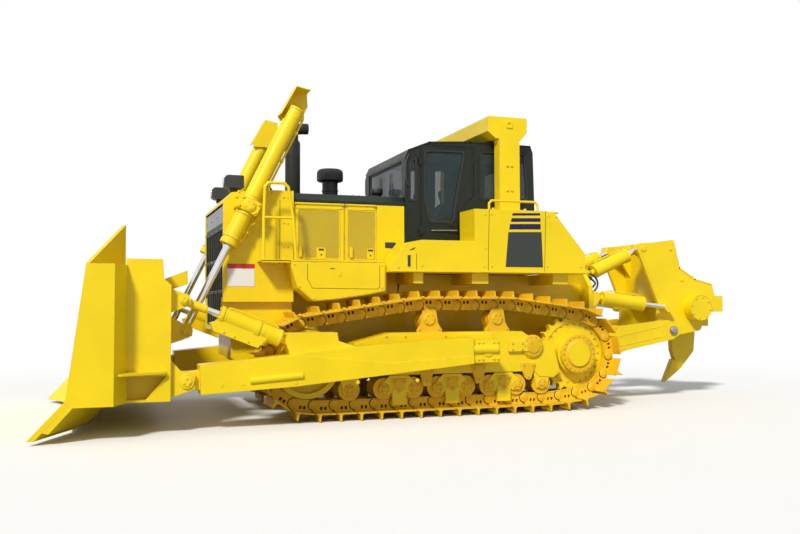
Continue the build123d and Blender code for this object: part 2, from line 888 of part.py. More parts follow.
cab_outline = (
    (cab_front, cab_low),
    (cab_front, 3620),
    (560, 3730),
    (240, 3860),
    (-400, 3900),
    (-1380, 3890),
    (-1420, 3780),
    (cab_rear, 3000),
    (cab_rear, cab_low),
)
cab_hollow = (
    (cab_front - cab_wall, cab_floor),
    (cab_front - cab_wall, 3600),
    (510, 3685),
    (230, 3800),
    (-400, 3840),
    (-1330, 3830),
    (-1360, 3770),
    (cab_rear + cab_wall, 3000),
    (cab_rear + cab_wall, cab_floor),
)
door_outline = (
    (door_front, door_low),
    (door_front, door_high),
    (door_rear, door_high),
    (door_rear, 3100),
    (-205, 2868),
    (-205, door_low),
)
door_window = ((325, 3060), (318, 3745), (-330, 3760), (-165, 2900), (-150, 2700), (250, 2700))
front_quarter = ((430, 3000), (545, 3000), (545, 3570), (430, 3640))
rear_quarter = ((-560, 3060), (-560, 3770), (-1290, 3770), (-1340, 3060))
screen_half_width = 800
screen_low = 2960
screen_high = 3580
door_hinge_x = door_front + 12
door_hinge_y = cab_half_width + 18
door_hinge_zs = (2560, 3560)


def opening(outline, grow, inner, outer, mode):
    """A side outline grown or shrunk all round, made solid between two stations of Y."""
    with BuildSketch(Plane.XZ.offset(-outer)) as side:
        Polygon(*outline, align=None)
        if grow:
            offset(amount=grow, kind=Kind.INTERSECTION)
    extrude(side.sketch, amount=outer - inner, mode=mode)


rear_screen_low = 3060
rear_screen_high = 3700
with BuildPart() as cab:
    slab(cab_outline, -cab_half_width, cab_half_width)
    slab(cab_hollow, -cab_half_width + cab_wall, cab_half_width - cab_wall, mode=Mode.SUBTRACT)
    through = cab_half_width + 10
    opening(door_outline, door_gap, -through, through, Mode.SUBTRACT)
    slab(front_quarter, -through, through, mode=Mode.SUBTRACT)
    slab(rear_quarter, -through, through, mode=Mode.SUBTRACT)
    for rear, front, low, high in (
        (cab_front - 100, cab_front + 10, screen_low, screen_high),
        (cab_rear - 10, cab_rear + 100, rear_screen_low, rear_screen_high),
    ):
        block(rear, front, -screen_half_width, screen_half_width, low, high, mode=Mode.SUBTRACT)
    for row in (-1, 1):
        for z in door_hinge_zs:
            for low in (z - 45, z + 25):
                with BuildSketch(Plane.XY.offset(low)) as lug:
                    with Locations((door_hinge_x, row * door_hinge_y)):
                        Rectangle(28, 28)
                    with Locations((door_hinge_x + 14, row * (door_hinge_y - 8))):
                        Rectangle(28, 32)
                    with Locations((door_hinge_x, row * door_hinge_y)):
                        Circle(hinge_pin_radius + seat, mode=Mode.SUBTRACT)
                extrude(lug.sketch, amount=20)
save(cab.part, "cab")

with BuildPart() as cab_door:
    slab(door_outline, cab_half_width - cab_wall, cab_half_width)
    opening(door_window, 0, cab_half_width - cab_wall - 10, cab_half_width + 10, Mode.SUBTRACT)
    for z in door_hinge_zs:
        rod((door_hinge_x, door_hinge_y, z - 24), (door_hinge_x, door_hinge_y, z + 24), 16)
        rod((door_hinge_x, door_hinge_y, z - 44), (door_hinge_x, door_hinge_y, z + 44), hinge_pin_radius)
        block(door_front - 60, door_hinge_x, cab_half_width, cab_half_width + 12, z - 24, z + 24)
    block(-190, -60, cab_half_width, cab_half_width + 30, 2560, 2600)
save_pair(cab_door.part, "cab_door")

pane_y = cab_half_width - cab_wall / 2
with BuildPart() as door_glass:
    opening(door_window, -seat, pane_y, pane_y + glass_thickness, Mode.ADD)
save_pair(door_glass.part, "door_glass")

with BuildPart() as cab_glass:
    for row in (-1, 1):
        low, high = sorted((row * pane_y, row * (pane_y + glass_thickness)))
        opening(front_quarter, -seat, low, high, Mode.ADD)
        opening(rear_quarter, -seat, low, high, Mode.ADD)
    width = screen_half_width - seat
    block(cab_front - 34, cab_front - 26, -width, width, screen_low + seat, screen_high - seat)
    block(cab_rear + 26, cab_rear + 34, -width, width, rear_screen_low + seat, rear_screen_high - seat)
save(cab_glass.part, "cab_glass")

seat_x = -420
with BuildPart() as operator_seat:
    block(seat_x - 200, seat_x + 200, -180, 180, cab_floor, cab_floor + 330)
    block(seat_x - 260, seat_x + 270, -260, 260, cab_floor + 330, cab_floor + 470)
    slab(
        (
            (seat_x - 260, cab_floor + 440),
            (seat_x - 130, cab_floor + 440),
            (seat_x - 240, cab_floor + 1120),
            (seat_x - 340, cab_floor + 1120),
        ),
        -240,
        240,
    )
save(operator_seat.part, "operator_seat")

with BuildPart() as control_consoles:
    slab(
        ((250, cab_floor), (540, cab_floor), (540, 2950), (400, 2980), (300, 2850)),
        -500,
        500,
    )
    for row in (-1, 1):
        low, high = sorted((row * 310, row * 560))
        block(-700, -80, low, high, cab_floor, cab_floor + 600)
        rod((-160, row * 435, cab_floor + 590), (-120, row * 435, cab_floor + 800), 16)
save(control_consoles.part, "control_consoles")

# ---------------------------------------------------------------- fenders and rollover frame

fender_outline = (
    (1020, cab_low),
    (1020, 2030),
    (770, 2360),
    (560, fender_low_top),
    (fender_step_x, fender_low_top),
    (fender_step_x, fender_high_top),
    (-1330, fender_high_top),
    (-1470, 2830),
    (-1970, 2240),
    (-1970, 2040),
    (fender_rear, cab_low),
)
with BuildPart() as fender:
    slab(fender_outline, fender_inner, fender_outer)
save_pair(fender.part, "fender")

rops_foot_height = 40
with BuildPart() as rollover_frame:
    slab(
        (
            (-590, 4030),
            (-720, rops_low),
            (-1130, rops_low),
            (-1220, 4040),
            (-1220, rops_high - 10),
            (-1200, rops_high),
            (-610, rops_high),
            (-590, rops_high - 10),
        ),
        -rops_half_width,
        rops_half_width,
    )
    for row in (-1, 1):
        low, high = sorted((row * rops_post_inner, row * rops_half_width))
        block(rops_post_rear, rops_post_front, low, high, fender_high_top + seat, rops_low + 20)
        low, high = sorted((row * (rops_post_inner - 5), row * (rops_half_width + 60)))
        foot = fender_high_top + seat
        block(rops_post_rear - 50, rops_post_front + 50, low, high, foot, foot + rops_foot_height)
save(rollover_frame.part, "rollover_frame")

hoop_y = fender_outer - 50
hoop_radius = 17
hoop_foot = fender_high_top + seat
hoop_rear = -1225
hoop_front = -465
hoop_top = 2980
hoop_bend = 40
with BuildPart() as fender_rail:
    with BuildLine() as hoop:
        Polyline(
            (hoop_front, hoop_y, hoop_foot),
            (hoop_front, hoop_y, hoop_top - hoop_bend),
            (hoop_front - hoop_bend, hoop_y, hoop_top),
            (hoop_rear + hoop_bend, hoop_y, hoop_top),
            (hoop_rear, hoop_y, hoop_top - hoop_bend),
            (hoop_rear, hoop_y, hoop_foot),
        )
    with BuildSketch(Plane.XY.offset(hoop_foot)):
        with Locations((hoop_front, hoop_y)):
            Circle(hoop_radius)
    sweep(path=hoop.line, transition=Transition.RIGHT)
save_pair(fender_rail.part, "fender_rail")

# ---------------------------------------------------------------- dozer

arm_front = 3560
arm_low = 450
arm_top = 1085
arm_end = ((arm_front - 15, arm_low), (arm_front, 800))
crease = ((2376, 892), (1176, 765), (479, 807), (arm_rear, 835))
brace_ear_thickness = 45
brace_pin_radius = 38
with BuildPart() as push_arm:
    slab(
        (*arm_end, (2420, 905), (1860, 965), (1610, 990), (arm_rear, arm_top), (arm_rear, 735), (2420, 510)),
        arm_inner,
        arm_outer,
    )
    # plate doubled on the outer face below the crease, and the skid bar on it
    slab(
        (*arm_end, *crease, (arm_rear, 735), (2420, 510)),
        arm_outer - 5,
        arm_outer + arm_doubler,
    )
    rod((2310, arm_outer, 645), (2960, arm_outer, 598), skid_radius)
    # eye on the blade's pin
    slab(
        (
            (arm_front - 60, 500),
            (arm_front - 60, 740),
            (blade_pin_x, blade_pin_z + arm_eye_radius - 5),
            (blade_pin_x, blade_pin_z - arm_eye_radius + 5),
        ),
        arm_y - arm_eye_half_width,
        arm_y + arm_eye_half_width,
    )
    disc(blade_pin_x, blade_pin_z, arm_eye_radius, arm_y - arm_eye_half_width, arm_y + arm_eye_half_width)
    disc(
        blade_pin_x,
        blade_pin_z,
        blade_pin_radius + seat,
        arm_y - arm_eye_half_width - 5,
        arm_y + arm_eye_half_width + 5,
        mode=Mode.SUBTRACT,
    )
    # trunnion housing with its half-round cap
    slab(
        (
            (arm_rear + 20, 745),
            (arm_rear + 20, 1050),
            (push_pivot_x - 140, 1050),
            (push_pivot_x - 180, 1005),
            (push_pivot_x - 180, 795),
            (push_pivot_x - 140, 745),
        ),
        arm_inner + 10,
        trunnion_face,
    )
    rod(
        (push_pivot_x - 135, trunnion_face - 20, push_pivot_z + 20),
        (arm_rear - 5, trunnion_face - 20, push_pivot_z + 20),
        trunnion_cap_radius,
    )
    disc(push_pivot_x, push_pivot_z, arm_pin_bore, arm_inner - 10, trunnion_end + 1, mode=Mode.SUBTRACT)
    # ears and pin of the brace
    for side in (-1, 1):
        face = arm_y + side * (brace_eye_half_width + eye_gap)
        low, high = sorted((face, face + side * brace_ear_thickness))
        slab(
            (
                (1600, 950),
                (1600, 985),
                (1837, 1064),
                (1853, brace_tail_z + 161),
                (brace_tail_x + 159, brace_tail_z + 161),
                (brace_tail_x + 185, brace_tail_z + 40),
                (brace_tail_x + 120, 880),
            ),
            low,
            high,
        )
    disc(
        brace_tail_x,
        brace_tail_z,
        brace_pin_radius,
        arm_y - brace_eye_half_width - eye_gap - 5,
        arm_y + brace_eye_half_width + eye_gap + 5,
    )
save_pair(push_arm.part, "push_arm")

edge_foot = (blade_tip_x, blade_tip_z)
edge_head = (4655, 454)
edge_thickness = 60
edge_run = edge_foot[0] - edge_head[0]
edge_rise = edge_head[1] - edge_foot[1]
edge_length = hypot(edge_run, edge_rise)
edge_back_top = along(edge_foot, edge_head, edge_length, edge_thickness)
edge_back_low = along(edge_foot, edge_head, edge_thickness * edge_run / edge_rise, edge_thickness)
face_top_x = 4440  # of the moldboard's front face
face_sag = (4438, 1204)  # the deepest point of its curve
lip_front = along(edge_foot, edge_head, 170, edge_thickness)
lip_rear = along(edge_foot, edge_head, 200, 2 * edge_thickness)
wing_run = blade_half_width - knuckle_y
wing_shift = wing_slope * wing_run
foot_shift = wing_slope * (wing_run - end_plate)
left_wing_way = (wing_slope, 1, 0)
right_wing_way = (wing_slope, -1, 0)
wing_length = wing_run * hypot(1, wing_slope)
spill_thickness = 40
box_top = 2060
ear_root = blade_back + 20
lift_ear = ((ear_root, 1010), (ear_root, 1420), (3700, 1290), (3580, 1230), (3580, 1130), (3700, 1080))
brace_ear = ((ear_root, 1420), (ear_root, 1730), (3760, 1665), (3665, 1610), (3665, 1530), (3760, 1480))
arm_ear = ((ear_root, 420), (ear_root, 900), (3780, 740), (3610, 690), (3610, 520), (3760, 470))
# outline, place across, eye's half width, thickness, pin's place, pin's radius, boss's radius
blade_ears = (
    (lift_ear, lift_y, lift_eye_half_width, 32, (lift_eye_x, lift_eye_z), 0, 62),
    (brace_ear, arm_y, brace_eye_half_width, 40, (brace_eye_x, brace_eye_z), 0, 55),
    (arm_ear, arm_y, arm_eye_half_width, 55, (blade_pin_x, blade_pin_z), blade_pin_radius, 85),
)
boss_height = 20


def across_blade(centre_sketch):
    """Carries a section at the left knuckle over the middle of the blade and out along both wings."""
    extrude(centre_sketch, amount=-2 * knuckle_y)
    extrude(centre_sketch, amount=wing_length, dir=right_wing_way)
    extrude(centre_sketch.moved(Location((0, 2 * knuckle_y, 0))), amount=wing_length, dir=left_wing_way)


with BuildPart() as blade:
    with BuildSketch(Plane.XZ.offset(knuckle_y)) as moldboard:
        with BuildLine():
            ThreePointArc(edge_head, face_sag, (face_top_x, blade_top))
            Polyline(
                (face_top_x, blade_top),
                (wing_back, blade_top),
                (wing_back, blade_low),
                (4560, blade_low),
                lip_rear,
                lip_front,
                edge_back_top,
                edge_head,
            )
        make_face()
    across_blade(moldboard.sketch)
    box_reach = wing_back + wing_slope * (box_half_width - knuckle_y)
    plan_slab(
        (
            (blade_back, -box_half_width),
            (blade_back, box_half_width),
            (box_reach + 20, box_half_width),
            (wing_back + 20, knuckle_y),
            (wing_back + 20, -knuckle_y),
            (box_reach + 20, -box_half_width),
        ),
        blade_low,
        box_top,
    )
    # the box is stepped back along its upper edge
    slab(
        (
            (blade_back - 10, 1755),
            (blade_back + 5, 1760),
            (blade_back + 85, 1830),
            (blade_back + 100, box_top + 10),
            (blade_back - 10, box_top + 10),
        ),
        -box_half_width - 10,
        box_half_width + 10,
        mode=Mode.SUBTRACT,
    )
    # spill guard along the top
    with BuildSketch(Plane.XZ.offset(knuckle_y)) as spill:
        Polygon(
            (face_top_x - spill_thickness, blade_top - 20),
            (face_top_x, blade_top - 20),
            (face_top_x, spill_top),
            (face_top_x - spill_thickness, spill_top),
            align=None,
        )
    across_blade(spill.sketch)
    for row in (-1, 1):
        cross_slab(
            (
                (row * knuckle_y, spill_top),
                (row * (blade_half_width + 10), blade_top),
                (row * (blade_half_width + 10), spill_top + 50),
                (row * knuckle_y, spill_top + 50),
            ),
            blade_back,
            blade_tip_x + wing_shift,
            mode=Mode.SUBTRACT,
        )
        # straight-edged plate that closes the wing's end
        low, high = sorted((row * (blade_half_width - end_plate), row * blade_half_width))
        slab(
            (
                (wing_back + wing_shift, blade_low),
                (wing_back + wing_shift, blade_top),
                (face_top_x + wing_shift, blade_top),
                (edge_head[0] + foot_shift - seat, edge_head[1]),
                (edge_back_top[0] + foot_shift - seat, edge_back_top[1]),
                (edge_back_top[0] + foot_shift - 60, blade_low),
            ),
            low,
            high,
        )
        # pocket and level rib low behind each end
        low, high = sorted((row * (box_half_width - 150), row * (box_half_width + 10)))
        slab(
            (
                (box_reach, rib_z - 35),
                (blade_back + 53, rib_z - 45),
                (blade_back + 280, 420),
                (box_reach, 420),
            ),
            low,
            high,
            mode=Mode.SUBTRACT,
        )
        rib_reach = blade_half_width - 60
        plan_slab(
            (
                (blade_back + 60, row * (box_half_width - 10)),
                (box_reach, row * (box_half_width - 10)),
                (wing_back + wing_slope * (rib_reach - knuckle_y) + 10, row * rib_reach),
                (wing_back + wing_slope * (rib_reach - knuckle_y) - 60, row * rib_reach),
                (blade_back + 60, row * (box_half_width + 60)),
            ),
            rib_z - rib_thickness / 2,
            rib_z + rib_thickness / 2,
        )
        # box lug above the lift cylinder's ears
        low, high = sorted((row * (lift_y + 150), row * (lift_y + 260)))
        slab(((ear_root, 1690), (ear_root, 1850), (3660, 1955), (3655, 1780)), low, high)
        for outline, y, half_width, thickness, pin_place, pin, boss in blade_ears:
            for side in (-1, 1):
                face = y + side * (half_width + eye_gap)
                low, high = sorted((row * face, row * (face + side * thickness)))
                slab(outline, low, high)
            face = y + half_width + eye_gap + thickness
            low, high = sorted((row * (face - 5), row * (face + boss_height)))
            disc(*pin_place, boss, low, high)
            if pin:
                reach = half_width + eye_gap + 5
                low, high = sorted((row * (y - reach), row * (y + reach)))
                disc(*pin_place, pin, low, high)
save(blade.part, "blade")

with BuildPart() as cutting_edge:
    with BuildSketch(Plane.XZ.offset(knuckle_y)) as bar:
        Polygon(edge_foot, edge_head, edge_back_top, edge_back_low, align=None)
    across_blade(bar.sketch)
save(cutting_edge.part, "cutting_edge")


def point_at(start, end, distance, y):
    """The point that far along the axis of a cylinder."""
    x, z = along(start, end, distance)
    return (x, y, z)


lift_pivot = (lift_pivot_x, lift_pivot_z)
lift_eye = (lift_eye_x, lift_eye_z)
lift_rod_inside = 590
lift_draw = 1080  # how far the rods run in when the blade is up
gland_length = 60
gland_step = 12
lift_guard_gap = 16  # between the barrel and the plates over its upper end
lift_guard_plate = 12
# corners of the guard's inner side plate: distance from the barrel's end, offset to the front
lift_guard = ((-250, 150), (-300, -40), (-140, -130), (100, -130), (220, 120), (180, 170))
with BuildPart() as lift_barrels:
    for y in (-lift_y, lift_y):
        outward = 1 if y > 0 else -1
        top = point_at(lift_pivot, lift_eye, -lift_above, y)
        end = point_at(lift_pivot, lift_eye, lift_below, y)
        rod(top, end, lift_barrel_radius)
        gland = point_at(lift_pivot, lift_eye, lift_below - gland_length, y)
        rod(gland, end, lift_barrel_radius + gland_step)
        # trunnion block and its pin in the guard's side
        with BuildSketch(
            Plane(origin=(lift_pivot_x, y, lift_pivot_z), x_dir=(0, 1, 0), z_dir=Vector(*end) - Vector(*top))
        ) as ring:
            Rectangle(260, 290)
        extrude(ring.sketch, amount=90, both=True)
        low, high = sorted((outward * (guard_half_width - guard_wall + 5), outward * (lift_y - 100)))
        disc(lift_pivot_x, lift_pivot_z, lift_trunnion_radius, low, high)
        low, high = sorted((outward * (lift_y + 100), outward * (lift_y + 146)))
        disc(lift_pivot_x, lift_pivot_z, 85, low, high)
        # cover over the upper end: an inner side plate, a front plate and a top plate
        corners = [along(lift_pivot, lift_eye, s - lift_above, h) for s, h in lift_guard]
        inside = lift_y - lift_barrel_radius - lift_guard_gap
        low, high = sorted((outward * (inside - lift_guard_plate), outward * inside))
        slab(corners, low, high)
        low, high = sorted((outward * (inside - lift_guard_plate), outward * (lift_y + lift_barrel_radius)))
        for first, second in ((0, 5), (1, 0)):
            (s1, h1), (s2, h2) = lift_guard[first], lift_guard[second]
            reach = hypot(s2 - s1, h2 - h1)
            ds, dh = (h2 - h1) / reach * lift_guard_plate, (s1 - s2) / reach * lift_guard_plate
            strip = ((s1, h1), (s2, h2), (s2 + ds, h2 + dh), (s1 + ds, h1 + dh))
            slab([along(lift_pivot, lift_eye, s - lift_above, h) for s, h in strip], low, high)
        # bar that carries the cover on the barrel's end
        x, z = along(lift_pivot, lift_eye, -lift_above + 30)
        low, high = sorted((outward * (inside - 5), outward * (lift_y - lift_barrel_radius + 20)))
        disc(x, z, 30, low, high)
        # bore of the rod
        rod(
            point_at(lift_pivot, lift_eye, lift_below - lift_rod_inside - lift_draw - 20, y),
            point_at(lift_pivot, lift_eye, lift_below + 3, y),
            lift_rod_radius + seat,
            mode=Mode.SUBTRACT,
        )
save(lift_barrels.part, "lift_barrels")

with BuildPart() as lift_rods:
    for y in (-lift_y, lift_y):
        start = point_at(lift_pivot, lift_eye, lift_below - lift_rod_inside, y)
        rod(start, (lift_eye_x, y, lift_eye_z), lift_rod_radius)
        disc(lift_eye_x, lift_eye_z, lift_eye_radius, y - lift_eye_half_width, y + lift_eye_half_width)
save(lift_rods.part, "lift_rods")

brace_tail = (brace_tail_x, brace_tail_z)
brace_eye = (brace_eye_x, brace_eye_z)
brace_barrel_start = 245
brace_barrel_end = 1060
brace_rod_inside = 240
brace_sleeve_start = 1230  # where the painted sleeve on the rod begins
channel_drop = brace_barrel_radius + 110
# corners of the guard below the barrel: distance from its pin, offset upwards
brace_channel = (
    (400, -40),
    (1010, -40),
    (1130, -brace_barrel_radius - 30),
    (1060, -channel_drop),
    (480, -channel_drop),
)
with BuildPart() as brace_barrels:
    for y in (-arm_y, arm_y):
        end = point_at(brace_tail, brace_eye, brace_barrel_end, y)
        rod(point_at(brace_tail, brace_eye, brace_barrel_start, y), end, brace_barrel_radius)
        disc(brace_tail_x, brace_tail_z, brace_eye_radius, y - brace_eye_half_width, y + brace_eye_half_width)
        rod((brace_tail_x, y, brace_tail_z), point_at(brace_tail, brace_eye, brace_barrel_start + 30, y), 50)
        rod(
            point_at(brace_tail, brace_eye, 540, y),
            point_at(brace_tail, brace_eye, 600, y),
            brace_barrel_radius + gland_step,
        )
        # channel that guards the barrel from below
        slab([along(brace_tail, brace_eye, s, h) for s, h in brace_channel], y - 85, y + 85)
        disc(brace_tail_x, brace_tail_z, brace_pin_radius + seat, y - 60, y + 60, mode=Mode.SUBTRACT)
        rod(
            point_at(brace_tail, brace_eye, brace_barrel_end - brace_rod_inside - 90, y),
            point_at(brace_tail, brace_eye, brace_barrel_end + 150, y),
            brace_rod_radius + seat,
            mode=Mode.SUBTRACT,
        )
save(brace_barrels.part, "brace_barrels")

with BuildPart() as brace_rods:
    for y in (-arm_y, arm_y):
        tip = (brace_eye_x, y, brace_eye_z)
        rod(point_at(brace_tail, brace_eye, brace_barrel_end - brace_rod_inside, y), tip, brace_rod_radius)
        rod(point_at(brace_tail, brace_eye, brace_sleeve_start, y), tip, brace_rod_radius + 8)
        disc(brace_eye_x, brace_eye_z, brace_eye_radius, y - brace_eye_half_width, y + brace_eye_half_width)
save(brace_rods.part, "brace_rods")

# ---------------------------------------------------------------- ripper

with BuildPart() as ripper_arm:
    for row in (-1, 1):
        low, high = sorted((row * ripper_arm_inner, row * ripper_arm_outer))
        slab(
            (
                (ripper_arm_x, ripper_arm_z + 115),
                (-2910, 1160),
                (-3880, 1265),
                (ripper_pin_x, ripper_pin_z + 140),
                (ripper_pin_x - 130, ripper_pin_z + 60),
                (ripper_pin_x - 130, ripper_pin_z - 60),
                (ripper_pin_x, ripper_pin_z - 140),
                (-3040, 790),
                (ripper_arm_x, ripper_arm_z - 115),
            ),
            low,
            high,
        )
        disc(ripper_arm_x, ripper_arm_z, 115, low, high)
    block(-3250, -3050, -ripper_arm_inner - 10, ripper_arm_inner + 10, 870, 1070)
    for row in (-1, 1):
        low, high = sorted((row * (ripper_arm_inner - 20), row * (ripper_arm_outer + 20)))
        disc(ripper_arm_x, ripper_arm_z, pivot_pin_radius + seat, low, high, mode=Mode.SUBTRACT)
        disc(ripper_pin_x, ripper_pin_z, ripper_pin_radius + seat, low, high, mode=Mode.SUBTRACT)
save(ripper_arm.part, "ripper_arm")

with BuildPart() as ripper_pins:
    for row in (-1, 1):
        low, high = sorted((row * (beam_inner - 30), row * (ripper_arm_outer + 25)))
        disc(ripper_pin_x, ripper_pin_z, ripper_pin_radius, low, high)
save(ripper_pins.part, "ripper_pins")

shank_outline = (
    (-4490, 2000),
    (-4960, 2000),
    (-4960, 1000),
    (-4930, 720),
    (-4680, 450),
    (-4560, 560),
    (-4500, 740),
    (-4490, 1010),
)
tilt_ear_thickness = 50
tilt_ear = ((-3520, 2380), (-3540, 2490), (-3800, 2500), (-4000, 2450), (-4000, 1900), (-3800, 2200))
with BuildPart() as ripper_beam:
    for row in (-1, 1):
        low, high = sorted((row * beam_inner, row * beam_outer))
        slab(
            (
                (-3500, 2400),
                (-3540, 2500),
                (-3790, 2520),
                (-4180, 2570),
                (-4300, 2100),
                (-4600, 1910),
                (-4930, 1830),
                (-4980, 1660),
                (-4680, 1090),
                (-4150, 1000),
                (-3900, 960),
                (-3840, 1100),
                (-3880, 1500),
            ),
            low,
            high,
        )
        low, high = sorted((row * beam_inner, row * (raise_y - ripper_eye_half_width - eye_gap)))
        disc(raise_rear_x, raise_rear_z, ripper_eye_radius, low, high)
        ear_face = tilt_y - ripper_eye_half_width - eye_gap
        low, high = sorted((row * (ear_face - tilt_ear_thickness), row * ear_face))
        slab(tilt_ear, low, high)
    block(-4150, -3950, -beam_inner - 10, beam_inner + 10, 1560, 2440)
    disc(-4560, 1460, 210, -750, 750)
    block(-5100, -4380, -230, 230, 1150, 1850)
    block(push_block_rear, -5090, -200, 200, 1390, 1660)
    slab(shank_outline, -shank_half_width - seat, shank_half_width + seat, mode=Mode.SUBTRACT)
    for row in (-1, 1):
        low, high = sorted((row * (beam_inner - 20), row * (beam_outer + 20)))
        disc(ripper_pin_x, ripper_pin_z, ripper_pin_radius + seat, low, high, mode=Mode.SUBTRACT)
save(ripper_beam.part, "ripper_beam")

with BuildPart() as ripper_shank:
    slab(shank_outline, -shank_half_width, shank_half_width)
save(ripper_shank.part, "ripper_shank")

with BuildPart() as ripper_tip:
    slab(((-4680, 450 - seat), (-4340, 210), (-4520, 590), (-4560, 560 - seat)), -60, 60)
save(ripper_tip.part, "ripper_tip")

ripper_barrel_start = 150
cylinder_sets = (
    # name, side, front pin, rear pin, barrel radius, rod radius, barrel's end, rod's length inside
    (
        "ripper_tilt",
        tilt_y,
        (tilt_front_x, tilt_front_z),
        (tilt_rear_x, tilt_rear_z),
        tilt_barrel_radius,
        tilt_rod_radius,
        830,
        490,
    ),
    (
        "ripper_raise",
        raise_y,
        (raise_front_x, raise_front_z),
        (raise_rear_x, raise_rear_z),
        raise_barrel_radius,
        raise_rod_radius,
        900,
        260,
    ),
)
for name, side_y, front_pin, rear_pin, barrel_radius, rod_radius, end, inside in cylinder_sets:
    start = ripper_barrel_start
    with BuildPart() as barrels:
        for y in (-side_y, side_y):
            low, high = y - ripper_eye_half_width, y + ripper_eye_half_width
            rod(point_at(front_pin, rear_pin, start, y), point_at(front_pin, rear_pin, end, y), barrel_radius)
            rod((front_pin[0], y, front_pin[1]), point_at(front_pin, rear_pin, start + 10, y), 42)
            disc(*front_pin, ripper_eye_radius, low, high)
            disc(*front_pin, ripper_front_pin_radius + seat, low - 5, high + 5, mode=Mode.SUBTRACT)
            rod(
                point_at(front_pin, rear_pin, start + 60, y),
                point_at(front_pin, rear_pin, end + 5, y),
                rod_radius + seat,
                mode=Mode.SUBTRACT,
            )
    save(barrels.part, f"{name}_barrels")
    with BuildPart() as rods:
        for y in (-side_y, side_y):
            rod(point_at(front_pin, rear_pin, end - inside, y), (rear_pin[0], y, rear_pin[1]), rod_radius)
            low, high = y - ripper_eye_half_width, y + ripper_eye_half_width
            disc(*rear_pin, ripper_eye_radius, low, high)
    save(rods.part, f"{name}_rods")
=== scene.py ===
from math import cos, hypot, pi, radians, sin, sqrt

import bmesh
import bpy
from mathutils import Matrix, Vector
from mathutils.geometry import tessellate_polygon


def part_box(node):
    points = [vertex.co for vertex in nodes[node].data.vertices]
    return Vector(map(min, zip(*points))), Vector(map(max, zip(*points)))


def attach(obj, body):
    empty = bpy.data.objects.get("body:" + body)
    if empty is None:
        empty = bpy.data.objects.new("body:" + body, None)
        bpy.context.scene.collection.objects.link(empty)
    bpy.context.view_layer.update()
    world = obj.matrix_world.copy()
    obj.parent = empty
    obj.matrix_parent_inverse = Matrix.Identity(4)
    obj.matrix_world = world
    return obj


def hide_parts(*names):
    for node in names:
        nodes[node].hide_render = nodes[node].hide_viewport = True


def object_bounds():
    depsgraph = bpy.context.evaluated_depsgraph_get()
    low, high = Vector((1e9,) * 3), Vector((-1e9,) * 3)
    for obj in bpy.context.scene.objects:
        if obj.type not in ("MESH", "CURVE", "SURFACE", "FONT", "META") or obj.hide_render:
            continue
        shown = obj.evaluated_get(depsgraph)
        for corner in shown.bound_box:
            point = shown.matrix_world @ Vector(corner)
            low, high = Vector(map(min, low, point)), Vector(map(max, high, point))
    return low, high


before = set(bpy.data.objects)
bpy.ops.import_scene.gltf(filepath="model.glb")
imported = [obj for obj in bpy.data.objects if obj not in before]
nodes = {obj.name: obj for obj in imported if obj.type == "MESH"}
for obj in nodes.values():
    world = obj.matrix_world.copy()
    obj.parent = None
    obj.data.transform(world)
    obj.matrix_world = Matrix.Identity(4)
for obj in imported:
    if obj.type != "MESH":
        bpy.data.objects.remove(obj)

cad_low, cad_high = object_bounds()
scene = bpy.context.scene

# ---------------------------------------------------------------- view, light and floor

scene.view_settings.view_transform = "Standard"

VIEW_AZIMUTH, VIEW_PITCH, VIEW_ROLL = radians(19.143), radians(2.502), radians(0.135)
view_point = Vector((4.7609, 12.6840, 1.5077))
forward = Vector((
    -sin(VIEW_AZIMUTH) * cos(VIEW_PITCH),
    -cos(VIEW_AZIMUTH) * cos(VIEW_PITCH),
    sin(VIEW_PITCH),
))
level = Vector((-cos(VIEW_AZIMUTH), sin(VIEW_AZIMUTH), 0))
upward = level.cross(forward)
right = level * cos(VIEW_ROLL) - upward * sin(VIEW_ROLL)
upward = right.cross(forward)
lens = bpy.data.cameras.new("camera")
lens.lens, lens.sensor_width = 39.65, 36
lens.clip_end = 500
camera = bpy.data.objects.new("camera", lens)
scene.collection.objects.link(camera)
camera.matrix_world = Matrix((
    (right.x, upward.x, -forward.x, view_point.x),
    (right.y, upward.y, -forward.y, view_point.y),
    (right.z, upward.z, -forward.z, view_point.z),
    (0, 0, 0, 1),
))
scene.camera = camera


def new_material(name):
    """An empty node material with its output and a principled shader."""
    made = bpy.data.materials.new(name)
    made.use_nodes = True
    tree = made.node_tree
    tree.nodes.clear()
    output = tree.nodes.new("ShaderNodeOutputMaterial")
    shader = tree.nodes.new("ShaderNodeBsdfPrincipled")
    tree.links.new(shader.outputs[0], output.inputs["Surface"])
    return made, tree, shader


def put(tree, kind, **settings):
    """A node of that kind, with its properties set and its inputs given by name."""
    node = tree.nodes.new(kind)
    inputs = settings.pop("inputs", {})
    for key, value in settings.items():
        setattr(node, key, value)
    for key, value in inputs.items():
        if isinstance(value, bpy.types.NodeSocket):
            tree.links.new(value, node.inputs[key])
        else:
            node.inputs[key].default_value = value
    return node


def noise(tree, scale, detail=4.0, rough=0.55):
    """Noise over the object's own coordinates."""
    place = put(tree, "ShaderNodeTexCoord").outputs["Object"]
    return put(
        tree,
        "ShaderNodeTexNoise",
        inputs={"Vector": place, "Scale": scale, "Detail": detail, "Roughness": rough},
    ).outputs["Fac"]


def ramp(tree, value, low, high, start=0.0, end=1.0):
    """Maps a value from low to high onto start to end, held at both ends."""
    return put(
        tree,
        "ShaderNodeMapRange",
        inputs={0: value, 1: low, 2: high, 3: start, 4: end},
    ).outputs[0]


def calc(tree, operation, first, second=0.0):
    """One step of arithmetic."""
    return put(tree, "ShaderNodeMath", operation=operation, inputs={0: first, 1: second}).outputs[0]


